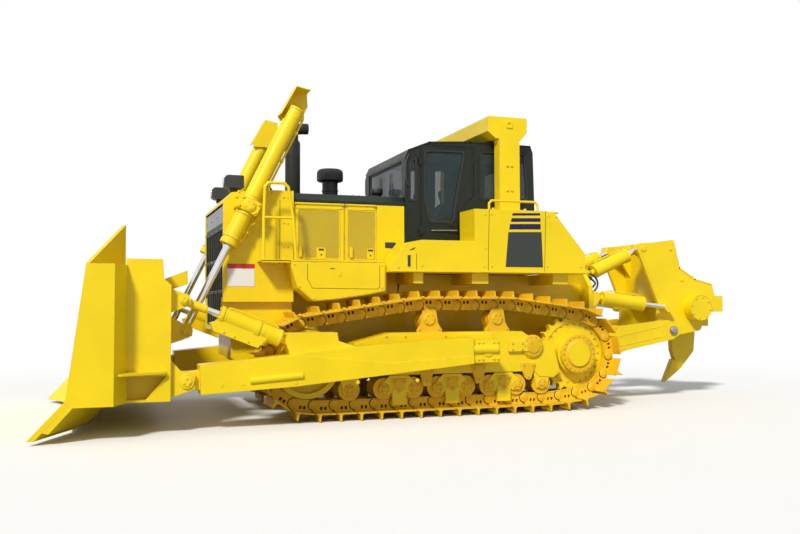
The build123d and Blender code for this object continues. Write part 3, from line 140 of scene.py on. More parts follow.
def blend_colour(tree, share, first, second):
    """A colour between two, each a colour or a socket."""
    mixed = put(tree, "ShaderNodeMix", data_type="RGBA")
    for key, value in ((0, share), (6, first), (7, second)):
        if isinstance(value, bpy.types.NodeSocket):
            tree.links.new(value, mixed.inputs[key])
        else:
            mixed.inputs[key].default_value = value if key == 0 else (*value, 1)
    return mixed.outputs[2]


def edge_mask(tree, radius, spread=2.2):
    """1 along sharp outside edges, 0 on flats, broken up by noise."""
    rounded = put(tree, "ShaderNodeBevel", samples=4, inputs={"Radius": radius})
    plain = put(tree, "ShaderNodeNewGeometry").outputs["Normal"]
    match = put(tree, "ShaderNodeVectorMath", operation="DOT_PRODUCT")
    tree.links.new(rounded.outputs[0], match.inputs[0])
    tree.links.new(plain, match.inputs[1])
    turned = ramp(tree, match.outputs["Value"], 0.98, 0.80)
    patches = ramp(tree, noise(tree, 9.0, 6.0, 0.7), 0.50, 0.50 + 0.2 / spread)
    return calc(tree, "MULTIPLY", turned, patches)


def beyond(tree, axis, level, towards=1):
    """1 where the object's own coordinate passes a level, 0 before it."""
    place = put(tree, "ShaderNodeTexCoord").outputs["Object"]
    value = put(tree, "ShaderNodeSeparateXYZ", inputs={0: place}).outputs[axis]
    return ramp(tree, value, level - 0.001 * towards, level + 0.001 * towards)


PEEL = 0.05   # strength of the paint's orange peel


def relief(tree, height, strength, distance=0.001, edge=None):
    """A bump, over edges that are rounded by a radius if one is given."""
    inputs = {"Strength": strength, "Distance": distance, "Height": height}
    if edge:
        inputs["Normal"] = put(tree, "ShaderNodeBevel", samples=4, inputs={"Radius": edge}).outputs[0]
    return put(tree, "ShaderNodeBump", inputs=inputs).outputs[0]


def to_shader(tree, shader, colour, roughness, normal):
    """Links a colour, a roughness and a bump to the shader."""
    for name, value in (("Base Color", colour), ("Roughness", roughness), ("Normal", normal)):
        tree.links.new(value, shader.inputs[name])


def painted(name, colour, roughness=0.38, vary=0.10, coat=0.15, worn=(0.30, 0.26, 0.20), wear=0.6,
            dust=0.0, second=None, split=None, gloss=0.5):
    """Sprayed paint on steel: slight clouds in the colour, orange peel, and scuffs along the edges.
    A second colour starts where an axis passes a level."""
    made, tree, shader = new_material(name)
    clouds = noise(tree, 1.3, 5.0, 0.6)
    darker = tuple(c * (1 - vary) for c in colour)
    lighter = tuple(min(1, c * (1 + vary * 0.4)) for c in colour)
    base = blend_colour(tree, ramp(tree, clouds, 0.3, 0.7), darker, lighter)
    specks = ramp(tree, noise(tree, 38.0, 3.0, 0.6), 0.62, 0.80, 0.0, 0.25)
    base = blend_colour(tree, specks, base, tuple(c * 0.86 for c in colour))
    if second:
        base = blend_colour(tree, beyond(tree, *split), base, second)
    if dust:
        settled = put(tree, "ShaderNodeSeparateXYZ",
                      inputs={0: put(tree, "ShaderNodeNewGeometry").outputs["Normal"]}).outputs["Z"]
        film = calc(tree, "MULTIPLY", ramp(tree, settled, 0.3, 0.95, 0.0, dust),
                    ramp(tree, noise(tree, 2.6, 6.0, 0.65), 0.35, 0.7))
        base = blend_colour(tree, film, base, (0.55, 0.47, 0.33))
    if wear:
        mask = calc(tree, "MULTIPLY", edge_mask(tree, 0.012), wear)
        base = blend_colour(tree, mask, base, worn)
    sheen = ramp(tree, noise(tree, 4.5, 5.0, 0.6), 0.3, 0.7, roughness - 0.06, roughness + 0.08)
    shader.inputs["Specular IOR Level"].default_value = gloss
    shader.inputs["Coat Weight"].default_value = coat
    shader.inputs["Coat Roughness"].default_value = 0.12
    to_shader(tree, shader, base, sheen, relief(tree, noise(tree, 140.0, 2.0, 0.5), PEEL, 0.002, edge=0.009))
    return made


def bare_metal(name, colour, roughness=0.3, scratch=0.12, stain=None, paint=None, split=None):
    """Bare steel or chrome, with a fine grain and an uneven polish, and paint beyond a level."""
    made, tree, shader = new_material(name)
    grain = noise(tree, 60.0, 4.0, 0.6)
    tint = blend_colour(tree, ramp(tree, noise(tree, 3.0, 5.0, 0.6), 0.35, 0.7), colour,
                        tuple(c * 0.82 for c in colour))
    if stain:
        tint = blend_colour(tree, ramp(tree, noise(tree, 7.0, 7.0, 0.7), 0.5, 0.72, 0.0, 0.8), tint, stain)
    polish = ramp(tree, grain, 0.3, 0.7, roughness - scratch / 2, roughness + scratch / 2)
    shader.inputs["Metallic"].default_value = 1.0
    if paint:
        over = beyond(tree, *split)
        tint = blend_colour(tree, over, tint, paint)
        tree.links.new(calc(tree, "SUBTRACT", 1.0, over), shader.inputs["Metallic"])
        polish = calc(tree, "MAXIMUM", polish, calc(tree, "MULTIPLY", over, 0.40))
    to_shader(tree, shader, tint, polish, relief(tree, grain, 0.08, edge=0.004))
    return made


def moulded(name, colour, roughness=0.5, grain=220.0, depth=0.12):
    """Moulded plastic or rubber with a fine grain."""
    made, tree, shader = new_material(name)
    base = blend_colour(tree, ramp(tree, noise(tree, 5.0, 5.0, 0.6), 0.3, 0.7), colour,
                        tuple(min(1, c * 1.35 + 0.004) for c in colour))
    sheen = ramp(tree, noise(tree, 12.0, 4.0, 0.6), 0.3, 0.7, roughness - 0.07, roughness + 0.07)
    to_shader(tree, shader, base, sheen, relief(tree, noise(tree, grain, 2.0, 0.5), depth, edge=0.006))
    return made


def tinted_glass(name, colour):
    """Thin tinted safety glass, clear enough to see through, with faint smears. Its teal base colour shows as a
    diffuse layer, more opaque at grazing angles: a painted reflection over the real tint.
    """
    made, tree, shader = new_material(name)
    smears = ramp(tree, noise(tree, 3.0, 6.0, 0.6), 0.35, 0.75)
    tree.links.new(blend_colour(tree, smears, colour, tuple(min(1, c * 1.25) for c in colour)),
                   shader.inputs["Base Color"])
    tree.links.new(calc(tree, "ADD", calc(tree, "MULTIPLY", smears, 0.06), 0.02), shader.inputs["Roughness"])
    # the alpha rises towards grazing angles, so that more of the teal shows there: painted reflection
    rim = put(tree, "ShaderNodeFresnel", inputs={"IOR": 1.5}).outputs[0]
    tree.links.new(ramp(tree, rim, 0.04, 0.6, 0.40, 0.85), shader.inputs["Alpha"])
    return made


YELLOW = (0.91, 0.665, 0.004)
CHARCOAL = (0.012, 0.017, 0.011)
yellow = painted("yellow_paint", YELLOW, coat=0.06, gloss=0.35)
# the undercarriage's yellow is a darker, more orange copy of the body's: painted shade; its dust on upward faces
# and wear along the edges are real
track_yellow_shaded = painted("yellow_track_paint", (0.84, 0.51, 0.010), roughness=0.5, vary=0.18, coat=0.0, wear=0.9,
                       dust=0.12, gloss=0.3)
charcoal = painted("charcoal_paint", CHARCOAL, roughness=0.42, coat=0.0, worn=(0.10, 0.10, 0.09), wear=0.4,
                   gloss=0.28)
black = moulded("black_plastic", (0.020, 0.021, 0.022))
rubber = moulded("black_rubber", (0.014, 0.014, 0.015), roughness=0.62, grain=400.0)
steel = bare_metal("worn_steel", (0.42, 0.40, 0.37), roughness=0.42, stain=(0.30, 0.24, 0.18))
iron = painted("engine_iron", (0.16, 0.16, 0.15), roughness=0.6, coat=0.0, vary=0.25)
core = bare_metal("core_aluminium", (0.30, 0.31, 0.31), roughness=0.5)
glass = tinted_glass("tinted_glass", (0.035, 0.062, 0.066))
hood_paint = painted("hood_paint", YELLOW, coat=0.0, gloss=0.3, second=CHARCOAL, split=("Z", 2.912))
ROD_PAINT = (   # the finish's name, the rods, the axis, where the paint of their eyes starts, and the way it goes
    ("lift", "lift_rods", "Z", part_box("lift_rods")[0].z + 0.200, -1),
    ("brace", "brace_rods", "X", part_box("brace_rods")[1].x - 0.375, 1),
    ("tilt", "ripper_tilt_rods", "X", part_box("ripper_tilt_rods")[0].x + 0.170, -1),
    ("raise", "ripper_raise_rods", "X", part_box("ripper_raise_rods")[0].x + 0.170, -1),
)
rod_finish = {
    rods: bare_metal(f"{kind}_rod_finish", (0.78, 0.79, 0.80), 0.14, scratch=0.06, paint=YELLOW, split=split)
    for kind, rods, *split in ROD_PAINT
}
navy = painted("navy_stripe", (0.012, 0.008, 0.075), roughness=0.4, coat=0.0, wear=0, gloss=0.3)
panel_paint = painted("panel_paint", (0.040, 0.048, 0.042), roughness=0.4, coat=0.0, wear=0.3, gloss=0.3)
grey = painted("grey_sheet", (0.20, 0.21, 0.22), roughness=0.45, wear=0.3)
white = painted("white_plate", (0.80, 0.80, 0.78), roughness=0.4, vary=0.04, wear=0)
red = painted("red_plate", (0.55, 0.02, 0.02), roughness=0.4, vary=0.06, wear=0)
lens_clear = moulded("lamp_lens", (0.55, 0.57, 0.58), roughness=0.12, grain=90.0, depth=0.3)
seam_paint = painted("seam_shadow", (0.20, 0.12, 0.008), roughness=0.7, coat=0.0, vary=0.2, wear=0)


def perforated(name, colour, hole, pitch=0.016, size=0.0052):
    """Punched sheet: rows of round holes over the object's own X and Z, not cut but painted in a dark colour that
    stands for the shade behind them.
    """
    made, tree, shader = new_material(name)
    place = put(tree, "ShaderNodeTexCoord").outputs["Object"]
    parts = put(tree, "ShaderNodeSeparateXYZ", inputs={0: place}).outputs
    row = calc(tree, "MULTIPLY", parts["Z"], 1 / (pitch * 0.866))
    shift = calc(tree, "MULTIPLY", calc(tree, "MODULO", calc(tree, "FLOOR", row), 2.0), 0.5)
    across = calc(tree, "FRACT", calc(tree, "ADD", calc(tree, "MULTIPLY", parts["X"], 1 / pitch), shift))
    dx = calc(tree, "MULTIPLY", calc(tree, "SUBTRACT", across, 0.5), pitch)
    dz = calc(tree, "MULTIPLY", calc(tree, "SUBTRACT", calc(tree, "FRACT", row), 0.5), pitch * 0.866)
    away = calc(tree, "SQRT", calc(tree, "ADD", calc(tree, "MULTIPLY", dx, dx), calc(tree, "MULTIPLY", dz, dz)))
    solid = ramp(tree, away, size * 0.85, size * 1.15)
    base = blend_colour(tree, ramp(tree, noise(tree, 2.0, 5.0, 0.6), 0.3, 0.7), colour,
                        tuple(c * 0.92 for c in colour))
    sheen = ramp(tree, noise(tree, 5.0, 5.0, 0.6), 0.3, 0.7, 0.38, 0.50)
    # the holes take the dark colour: painted shade
    to_shader(tree, shader, blend_colour(tree, solid, hole, base), sheen, relief(tree, solid, 0.6, 0.003))
    return made


def woven(name, colour, pitch=0.004):
    """Woven seat cloth: crossing threads over the object's own coordinates, with a soft sheen."""
    made, tree, shader = new_material(name)
    place = put(tree, "ShaderNodeTexCoord").outputs["Object"]
    warp, weft = (
        put(tree, "ShaderNodeTexWave", wave_type="BANDS", bands_direction=way,
            inputs={"Vector": place, "Scale": 0.5 / pitch, "Distortion": 0.6}).outputs["Fac"]
        for way in "XY"
    )
    threads = calc(tree, "MULTIPLY", warp, weft)
    tone = blend_colour(tree, ramp(tree, noise(tree, 14.0, 5.0, 0.6), 0.3, 0.7), colour,
                        tuple(c * 1.5 for c in colour))
    cloth_colour = blend_colour(tree, threads, tuple(c * 0.5 for c in colour), tone)
    nap = ramp(tree, noise(tree, 9.0, 4.0, 0.6), 0.3, 0.7, 0.75, 0.92)
    to_shader(tree, shader, cloth_colour, nap, relief(tree, threads, 0.35))
    shader.inputs["Sheen Weight"].default_value = 0.25
    return made


# the sheet is a darker copy of the yellow and its holes are dark brown: painted shade, as seen through the holes
mesh_sheet = perforated("punched_sheet", (0.80, 0.58, 0.008), (0.16, 0.10, 0.004))
cloth = woven("seat_cloth", (0.030, 0.032, 0.036))
pipe = painted("pipe_paint", (0.014, 0.018, 0.013), roughness=0.5, coat=0.0, worn=(0.12, 0.10, 0.08), wear=0.5,
               gloss=0.3)

finish_of = {
    "engine": iron, "grille": charcoal, "radiator": core, "exhaust": pipe, "air_cleaners": pipe,
    "headlamps": black, "cab": charcoal, "cab_glass": glass, "operator_seat": black,
    "control_consoles": black, "cab_door_left": charcoal, "cab_door_right": charcoal,
    "door_glass_left": glass, "door_glass_right": glass, "ripper_pins": steel, "hood": hood_paint,
    "track_left": track_yellow_shaded, "track_right": track_yellow_shaded, **rod_finish,
}
for name, node in nodes.items():
    node.data.materials.clear()
    node.data.materials.append(finish_of.get(name, yellow))

# ---------------------------------------------------------------- mesh kit

OUT, UP, AHEAD, BACK = (0, 1, 0), (0, 0, 1), (1, 0, 0), (-1, 0, 0)


def side(a, b, t):
    """An outline seen from the side, as X and Z."""
    return (a, t, b)


def head_on(a, b, t):
    """An outline seen from the front, as Y and Z."""
    return (t, a, b)


def plan(a, b, t):
    """An outline seen from above, as X and Y."""
    return (a, b, t)


class Soup:
    """Faces gathered in metres for one piece."""

    def __init__(self):
        self.points, self.faces = [], []

    def add(self, points, faces):
        start = len(self.points)
        self.points += [tuple(p) for p in points]
        self.faces += [tuple(start + i for i in face) for face in faces]

    def plate(self, outline, low, high, view=side, holes=()):
        """An outline with holes, made solid between two stations."""
        loops = [outline, *holes]
        flat = [p for loop in loops for p in loop]
        count = len(flat)
        caps = tessellate_polygon([[Vector((a, b, 0)) for a, b in loop] for loop in loops])
        points = [view(a, b, low) for a, b in flat] + [view(a, b, high) for a, b in flat]
        faces = [tuple(cap) for cap in caps] + [tuple(count + i for i in reversed(cap)) for cap in caps]
        start = 0
        for loop in loops:
            size = len(loop)
            for i in range(size):
                j = (i + 1) % size
                faces.append((start + i, start + j, count + start + j, count + start + i))
            start += size
        self.add(points, faces)

    def turned(self, centre, axis, profile, sides=24, phase=0.0):
        """A lathe-turned form: steps of radius and station along its axis, closed at both ends."""
        axis = Vector(axis).normalized()
        across = axis.orthogonal().normalized()
        if abs(axis.y) > 0.9:
            across = Vector(AHEAD)
        third = axis.cross(across)
        points, faces = [], []
        for radius, station in profile:
            for i in range(sides):
                turn = phase + 2 * pi * i / sides
                points.append(
                    Vector(centre) + axis * station + (across * cos(turn) + third * sin(turn)) * radius
                )
        for row in range(len(profile) - 1):
            for i in range(sides):
                j = (i + 1) % sides
                faces.append((row * sides + i, row * sides + j, (row + 1) * sides + j, (row + 1) * sides + i))
        faces.append(tuple(range(sides - 1, -1, -1)))
        last = (len(profile) - 1) * sides
        faces.append(tuple(last + i for i in range(sides)))
        self.add(points, faces)

    def bolt(self, centre, axis, size=0.016):
        """A hexagon head on a round washer."""
        self.turned(centre, axis, ((size * 1.25, -0.004), (size * 1.25, size * 0.25)), 16)
        self.turned(
            centre, axis,
            ((size, size * 0.2), (size, size * 0.8), (size * 0.86, size)),
            6, phase=0.3,
        )

    def bolts(self, spots, face, size):
        """Bolts on a face that looks outwards, at places given as X and Z."""
        for x, z in spots:
            self.bolt((x, face, z), OUT, size)

    def bolt_ring(self, centre, axis, radius, count, size=0.014, phase=0.0):
        """Bolts evenly round a circle."""
        axis = Vector(axis).normalized()
        across = Vector(AHEAD) if abs(axis.y) > 0.9 else axis.orthogonal().normalized()
        third = axis.cross(across)
        for i in range(count):
            turn = phase + 2 * pi * i / count
            self.bolt(Vector(centre) + (across * cos(turn) + third * sin(turn)) * radius, axis, size)

    def tube(self, points, radius, sides=10, steps=6):
        """A round bar or hose along a smooth line through the points."""
        line = smooth_line([Vector(p) for p in points], steps)
        count = len(line)
        rings, normal = [], None
        for i, point in enumerate(line):
            way = (line[min(i + 1, count - 1)] - line[max(i - 1, 0)]).normalized()
            normal = way.orthogonal() if normal is None else normal - way * normal.dot(way)
            normal.normalize()
            third = way.cross(normal)
            rings.append([
                point + (normal * cos(2 * pi * k / sides) + third * sin(2 * pi * k / sides)) * radius
                for k in range(sides)
            ])
        points = [p for ring in rings for p in ring]
        faces = []
        for row in range(count - 1):
            following = row + 1
            for k in range(sides):
                j = (k + 1) % sides
                faces.append((row * sides + k, row * sides + j, following * sides + j, following * sides + k))
        faces.append(tuple(range(sides - 1, -1, -1)))
        faces.append(tuple((count - 1) * sides + k for k in range(sides)))
        self.add(points, faces)

    def block(self, low, high, bevel=0.0):
        """A box with its long edges cut back."""
        (x0, y0, z0), (x1, y1, z1) = low, high
        if bevel:
            outline = (
                (x0 + bevel, z0), (x1 - bevel, z0), (x1, z0 + bevel), (x1, z1 - bevel),
                (x1 - bevel, z1), (x0 + bevel, z1), (x0, z1 - bevel), (x0, z0 + bevel),
            )
        else:
            outline = rect(x0, z0, x1, z1)
        self.plate(outline, y0, y1)

    def mirrored(self, other):
        """Adds the faces of another gathering, mirrored to the other side of the machine."""
        self.add([(x, -y, z) for x, y, z in other.points], [tuple(reversed(f)) for f in other.faces])

    def piece(self, name, finish, body, angle=32, replaces=()):
        """Makes the object, with sharp edges kept and the rest smooth."""
        mesh = bpy.data.meshes.new(name)
        mesh.from_pydata(self.points, [], self.faces)
        work = bmesh.new()
        work.from_mesh(mesh)
        bmesh.ops.recalc_face_normals(work, faces=work.faces)
        work.to_mesh(mesh)
        work.free()
        mesh.shade_smooth()
        mesh.set_sharp_from_angle(angle=radians(angle))
        mesh.materials.append(finish)
        made = bpy.data.objects.new(name, mesh)
        scene.collection.objects.link(made)
        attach(made, body)
        if replaces:
            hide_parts(*replaces)
        return made


def smooth_line(points, steps):
    """Points on a Catmull-Rom line through the given ones."""
    if steps < 2 or len(points) < 3:
        return points
    line = []
    for i, (p1, p2) in enumerate(zip(points, points[1:])):
        p0 = points[i - 1] if i else p1 * 2 - p2
        p3 = points[i + 2] if i + 2 < len(points) else p2 * 2 - p1
        for k in range(steps):
            t = k / steps
            line.append(0.5 * (
                2 * p1 + (p2 - p0) * t + (2 * p0 - 5 * p1 + 4 * p2 - p3) * t * t
                + (3 * p1 - p0 - 3 * p2 + p3) * t ** 3
            ))
    return line + [points[-1]]


def rounded(outline, radius, steps=5):
    """An outline with its corners rounded."""
    result = []
    count = len(outline)
    for i in range(count):
        before, corner, after = (Vector(outline[k % count]) for k in (i - 1, i, i + 1))
        reach = min(radius, (before - corner).length * 0.45, (after - corner).length * 0.45)
        start = corner + (before - corner).normalized() * reach
        end = corner + (after - corner).normalized() * reach
        for k in range(steps + 1):
            t = k / steps
            point = start * (1 - t) ** 2 + corner * 2 * t * (1 - t) + end * t * t
            result.append((point.x, point.y))
    return result


def inset(outline, amount):
    """An outline of few corners moved inwards."""
    count = len(outline)
    turn = sum(
        outline[i][0] * outline[(i + 1) % count][1] - outline[(i + 1) % count][0] * outline[i][1]
        for i in range(count)
    )
    sign = 1 if turn > 0 else -1
    result = []
    for i in range(count):
        before, corner, after = (Vector(outline[k % count]) for k in (i - 1, i, i + 1))
        first, second = (corner - before).normalized(), (after - corner).normalized()
        normal_1, normal_2 = Vector((-first.y, first.x)) * sign, Vector((-second.y, second.x)) * sign
        both = normal_1 + normal_2
        moved = corner + both * (amount / max(0.2, 1 + normal_1.dot(normal_2)))
        result.append((moved.x, moved.y))
    return result


def rect(a, b, c, d):
    """A rectangle's corners."""
    return [(a, b), (c, b), (c, d), (a, d)]


def grid(xs, zs, by_x=False):
    """Places in rows, or in columns."""
    return [(x, z) for x in xs for z in zs] if by_x else [(x, z) for z in zs for x in xs]


def on(face, height):
    """From just inside a face to a height above it."""
    return (face - 0.001, face + height)


def between(sign, near, far):
    """Two stations on the left or the right side, in rising order."""
    return sorted((sign * near, sign * far))


def circle(x, z, radius, sides=20, phase=0.0):
    """A round outline."""
    return [
        (x + radius * cos(phase + 2 * pi * i / sides), z + radius * sin(phase + 2 * pi * i / sides))
        for i in range(sides)
    ]


def islands(name):
    """The boxes of a node's separate solids, from front to rear."""
    mesh = bmesh.new()
    mesh.from_mesh(nodes[name].data)
    bmesh.ops.remove_doubles(mesh, verts=mesh.verts, dist=0.00001)
    mesh.verts.ensure_lookup_table()
    seen, boxes = set(), []
    for vert in mesh.verts:
        if vert.index in seen:
            continue
        group, front_line = [], [vert]
        seen.add(vert.index)
        while front_line:
            one = front_line.pop()
            group.append(one.co.copy())
            for edge in one.link_edges:
                other = edge.other_vert(one)
                if other.index not in seen:
                    seen.add(other.index)
                    front_line.append(other)
        low = Vector([min(p[k] for p in group) for k in range(3)])
        high = Vector([max(p[k] for p in group) for k in range(3)])
        boxes.append((low, high))
    mesh.free()
    return sorted(boxes, key=lambda pair: -pair[0].x)


def middle(pair):
    """The middle of a box."""
    return (pair[0] + pair[1]) / 2

# ---------------------------------------------------------------- tracks

BUSHING = 0.040
PITCH = 0.2785
TREAD, SHOE_IN = -0.065, 0.087


def chain_pins(name, row_face):
    """The chain's pins, as X and Z, in the order of the links, read from its bushings' corners."""
    corners = [v.co for v in nodes[name].data.vertices if abs(v.co.y - row_face) < 0.0005]
    spots = []
    for first in corners:
        for second in corners:
            if abs(second.x - first.x - 2 * BUSHING) < 0.0003 and abs(second.z - first.z) < 0.0002:
                x, z = (first.x + second.x) / 2, (first.z + second.z) / 2
                high = (x + BUSHING / 2, z + BUSHING * sqrt(3) / 2)
                if any(hypot(c.x - high[0], c.z - high[1]) < 0.0006 for c in corners):
                    if all(hypot(x - s[0], z - s[1]) > 0.05 for s in spots):
                        spots.append((x, z))
    # walk along the lower run towards the rear first, so that the shoes lie on the outer side
    start = min(spots, key=lambda s: (round(s[1], 2), -s[0]))
    chain, left = [start], [s for s in spots if s != start]
    heading = Vector((-1, 0))
    while left:
        here = chain[-1]
        near = [s for s in left if hypot(s[0] - here[0], s[1] - here[1]) < PITCH * 1.35]
        if not near:
            break
        following = max(near, key=lambda s: Vector((s[0] - here[0], s[1] - here[1])).dot(heading))
        heading = Vector((following[0] - here[0], following[1] - here[1])).normalized()
        chain.append(following)
        left.remove(following)
    return chain


def arc(s, h, radius, start, end, steps=7):
    """Points round an arc, in degrees."""
    return [
        (s + radius * cos(radians(start + (end - start) * i / steps)),
         h + radius * sin(radians(start + (end - start) * i / steps)))
        for i in range(steps + 1)
    ]


def link_template():
    """One link with its shoe: lengths run along it, heights away from the wheels, widths across."""
    made = Soup()

    def section(s, h, t):
        return (s, t, h)

    # outer and inner plate of each row, with a round eye at each pin and two nut pockets
    body = (
        arc(0, 0, 0.074, 100, 262)
        + [(0.045, TREAD), (0.225, TREAD)]
        + arc(PITCH, 0, 0.060, -70, 70)
        + [(0.262, SHOE_IN), (0.018, SHOE_IN)]
    )
    pockets = [
        rounded(rect(s, 0.018, s + 0.034, 0.062), 0.010, 2)
        for s in (0.092, 0.148)
    ]
    for row in (-1, 1):
        low, high = between(row, 0.083, 0.122)
        made.plate(body, low, high, section, pockets)
        # raised boss round the near eye and the pin's end
        made.turned((0, row * 0.100, 0), (0, row, 0), ((0.062, 0), (0.062, 0.027), (0.056, 0.030)), 20)
        made.turned((0, row * 0.100, 0), (0, row, 0), ((0.030, 0.0), (0.030, 0.0335), (0.022, 0.0345)), 14)
        # tread rail
        low, high = between(row, 0.080, 0.125)
        made.plate(((0.04, TREAD - 0.0005), (0.235, TREAD - 0.0005), (0.22, TREAD + 0.02), (0.055, TREAD + 0.02)),
                   low, high, section)
    made.turned((0, -0.09, 0), OUT, ((BUSHING - 0.002, 0), (BUSHING - 0.002, 0.18)), 16)
    # shoe with its grouser, bent edges and bolts
    out = SHOE_IN + 0.020
    shoe = (
        (0.006, SHOE_IN + 0.004), (0.020, SHOE_IN), (0.255, SHOE_IN), (0.268, SHOE_IN + 0.006),
        (0.270, out - 0.002), (0.262, out), (0.092, out), (0.072, out + 0.016), (0.066, out + 0.089),
        (0.060, out + 0.093), (0.050, out + 0.093), (0.045, out + 0.088), (0.034, out + 0.014),
        (0.026, out), (0.010, out),
    )
    made.plate(shoe, -0.303, 0.303, section)
    for row in (-1, 1):
        for s in (0.128, 0.215):
            for t in (0.078, 0.128):
                made.bolt((s, row * t, out), UP, 0.017)
    return made


def pocket_shade_template():
    """Black back walls in a link's nut pockets: painted shade of the pockets' depth."""
    made = Soup()
    for row in (-1, 1):
        low, high = between(row, 0.084, 0.094)
        made.plate(rect(0.085, 0.01, 0.19, 0.07), low, high,
                   lambda s, h, t: (s, t, h))
    return made


LINK, POCKET_SHADE = link_template(), pocket_shade_template()
for side_name, sign in (("left", 1), ("right", -1)):
    node = f"track_{side_name}"
    low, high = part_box(node)
    centre_y = (low.y + high.y) / 2
    pins = chain_pins(node, centre_y + 0.075)
    chain, pockets = Soup(), Soup()
    for (x1, z1), (x2, z2) in zip(pins, pins[1:] + pins[:1]):
        way = Vector((x2 - x1, z2 - z1))
        tx, tz = way.normalized()
        # outward is to the left of the way from pin to pin
        for whole, template in ((chain, LINK), (pockets, POCKET_SHADE)):
            whole.add(
                [(x1 + tx * s - tz * h, centre_y + t, z1 + tz * s + tx * h) for s, t, h in template.points],
                template.faces,
            )
    # black walls at the back of the nut pockets: painted shade of their depth
    pockets.piece(f"track_pocket_shade_{side_name}", rubber, "tractor")
    chain.piece(f"track_chain_{side_name}", track_yellow_shaded, "tractor", replaces=(node,))

# ---------------------------------------------------------------- rollers, bogies, frames, sprocket

for side_name, sign in (("left", 1), ("right", -1)):
    outward = (0, sign, 0)
    track_low, track_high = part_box(f"track_{side_name}")
    centre_y = (track_low.y + track_high.y) / 2
    bogie_boxes = islands(f"bogies_{side_name}")
    bogie_face = bogie_boxes[0][1].y if sign > 0 else -bogie_boxes[0][0].y
    turned = Soup()
    hardware = Soup()
    for low, high in islands(f"rollers_{side_name}"):
        spot = middle((low, high))
        radius, half = (high.z - low.z) / 2, (high.y - low.y) / 2
        if spot.z < 0.6:
            shell = radius - 0.020
            profile = [
                (0.060, -half - 0.004), (shell * 0.8, -half), (radius - 0.004, -half), (radius, -half + 0.005),
                (radius, -0.137), (radius - 0.006, -0.131), (shell, -0.1303), (shell, -0.074),
                (shell - 0.012, -0.065), (shell - 0.012, 0.065), (shell, 0.074), (shell, 0.1303),
                (radius - 0.006, 0.131), (radius, 0.137), (radius, half - 0.005), (radius - 0.004, half),
                (shell * 0.8, half), (0.060, half + 0.004),
            ]
            turned.turned(spot, OUT, profile, 40)
            # end cap between the bogie's plates, with four lugs
            face = bogie_face - 0.016
            cap = Vector((spot.x, sign * face, spot.z))
            hardware.turned(cap, outward, ((0.078, -0.01), (0.078, 0.004), (0.070, 0.012), (0.040, 0.014)), 28)
            hardware.turned(cap, outward, ((0.034, 0.010), (0.034, 0.022), (0.028, 0.026)), 20)
            hardware.bolt_ring(cap + Vector((0, sign * 0.010, 0)), outward, 0.055, 4, 0.010, phase=0.78)
        else:
            # carrier roller with its collared hub on the outer side
            profile = [
                (0.070, -half), (radius - 0.012, -half), (radius, -half + 0.010), (radius, half * 0.35),
                (radius - 0.010, half * 0.40), (radius - 0.010, half * 0.62), (radius, half * 0.68),
                (radius, half - 0.010), (radius - 0.012, half), (0.070, half),
            ]
            turned.turned(spot, OUT, profile, 40)
            face = high.y if sign > 0 else low.y
            # tapered bracket on the track frame, with the hub's cap on it
            x, foot, head = spot.x, 1.130, spot.z + 0.150
            bracket = [(x - 0.185, foot), (x + 0.185, foot), (x + 0.185, foot + 0.045), (x + 0.125, spot.z - 0.050),
                       (x + 0.100, head - 0.030), (x + 0.070, head), (x - 0.070, head), (x - 0.100, head - 0.030),
                       (x - 0.125, spot.z - 0.050), (x - 0.185, foot + 0.045)]
            hardware.plate(bracket, *sorted((face + sign * 0.002, face + sign * 0.026)))
            for dx in (-0.145, 0.145):
                hardware.bolt((x + dx, face + sign * 0.026, foot + 0.045), outward, 0.013)
            cap = Vector((x, face + sign * 0.026, spot.z))
            hardware.turned(cap, outward, ((0.085, -0.004), (0.085, 0.010), (0.074, 0.018), (0.030, 0.020)), 28)
            hardware.bolt_ring(cap + Vector((0, sign * 0.016, 0)), outward, 0.062, 6, 0.010)
    turned.piece(f"rollers_turned_{side_name}", track_yellow_shaded, "tractor", replaces=(f"rollers_{side_name}",))
    # three-cornered pads on the bogies' covers
    for low, high in bogie_boxes:
        spot = middle((low, high))
        face = sign * bogie_face
        top = high.z - 0.052
        pad = rounded((
            (spot.x - 0.098, top - 0.012), (spot.x - 0.030, top - 0.175), (spot.x + 0.030, top - 0.175),
            (spot.x + 0.098, top - 0.012), (spot.x + 0.080, top + 0.004), (spot.x - 0.080, top + 0.004),
        ), 0.030, 4)
        hardware.plate(pad, *sorted((face - sign * 0.004, face + sign * 0.008)))
        for dx, dz in ((-0.062, -0.028), (0.062, -0.028), (0.0, -0.140)):
            hardware.bolt((spot.x + dx, face + sign * 0.008, top + dz), outward, 0.012)
    # shields on the track frame, cover of the rear pivot and the caps of the arm's trunnion
    shield_face = centre_y + sign * 0.215
    for x, z in ((0.485, 0.600), (-0.290, 0.605), (-1.050, 0.620)):
        pad = rounded((
            (x - 0.105, z + 0.072), (x - 0.082, z - 0.002), (x - 0.040, z - 0.160),
            (x + 0.040, z - 0.160), (x + 0.082, z - 0.002), (x + 0.105, z + 0.072),
        ), 0.030, 4)
        hardware.plate(pad, *sorted((shield_face - sign * 0.003, shield_face + sign * 0.009)))
        for dx, dz in ((-0.066, 0.040), (0.066, 0.040), (0.0, -0.120)):
            hardware.bolt((x + dx, shield_face + sign * 0.009, z + dz), outward, 0.012)
    cover = (-1.125, shield_face, 0.930)
    hardware.turned(cover, outward, ((0.160, -0.004), (0.160, 0.010), (0.150, 0.016), (0.105, 0.018),
                                          (0.098, 0.030), (0.060, 0.034)), 40)
    hardware.bolt_ring((cover[0], cover[1] + sign * 0.014, cover[2]), outward, 0.128, 10, 0.011)
    for x in (-1.10, -0.95, -0.80):
        for z in (0.885, 0.970):
            hardware.bolt((x, centre_y + sign * 0.240, z), outward, 0.012)
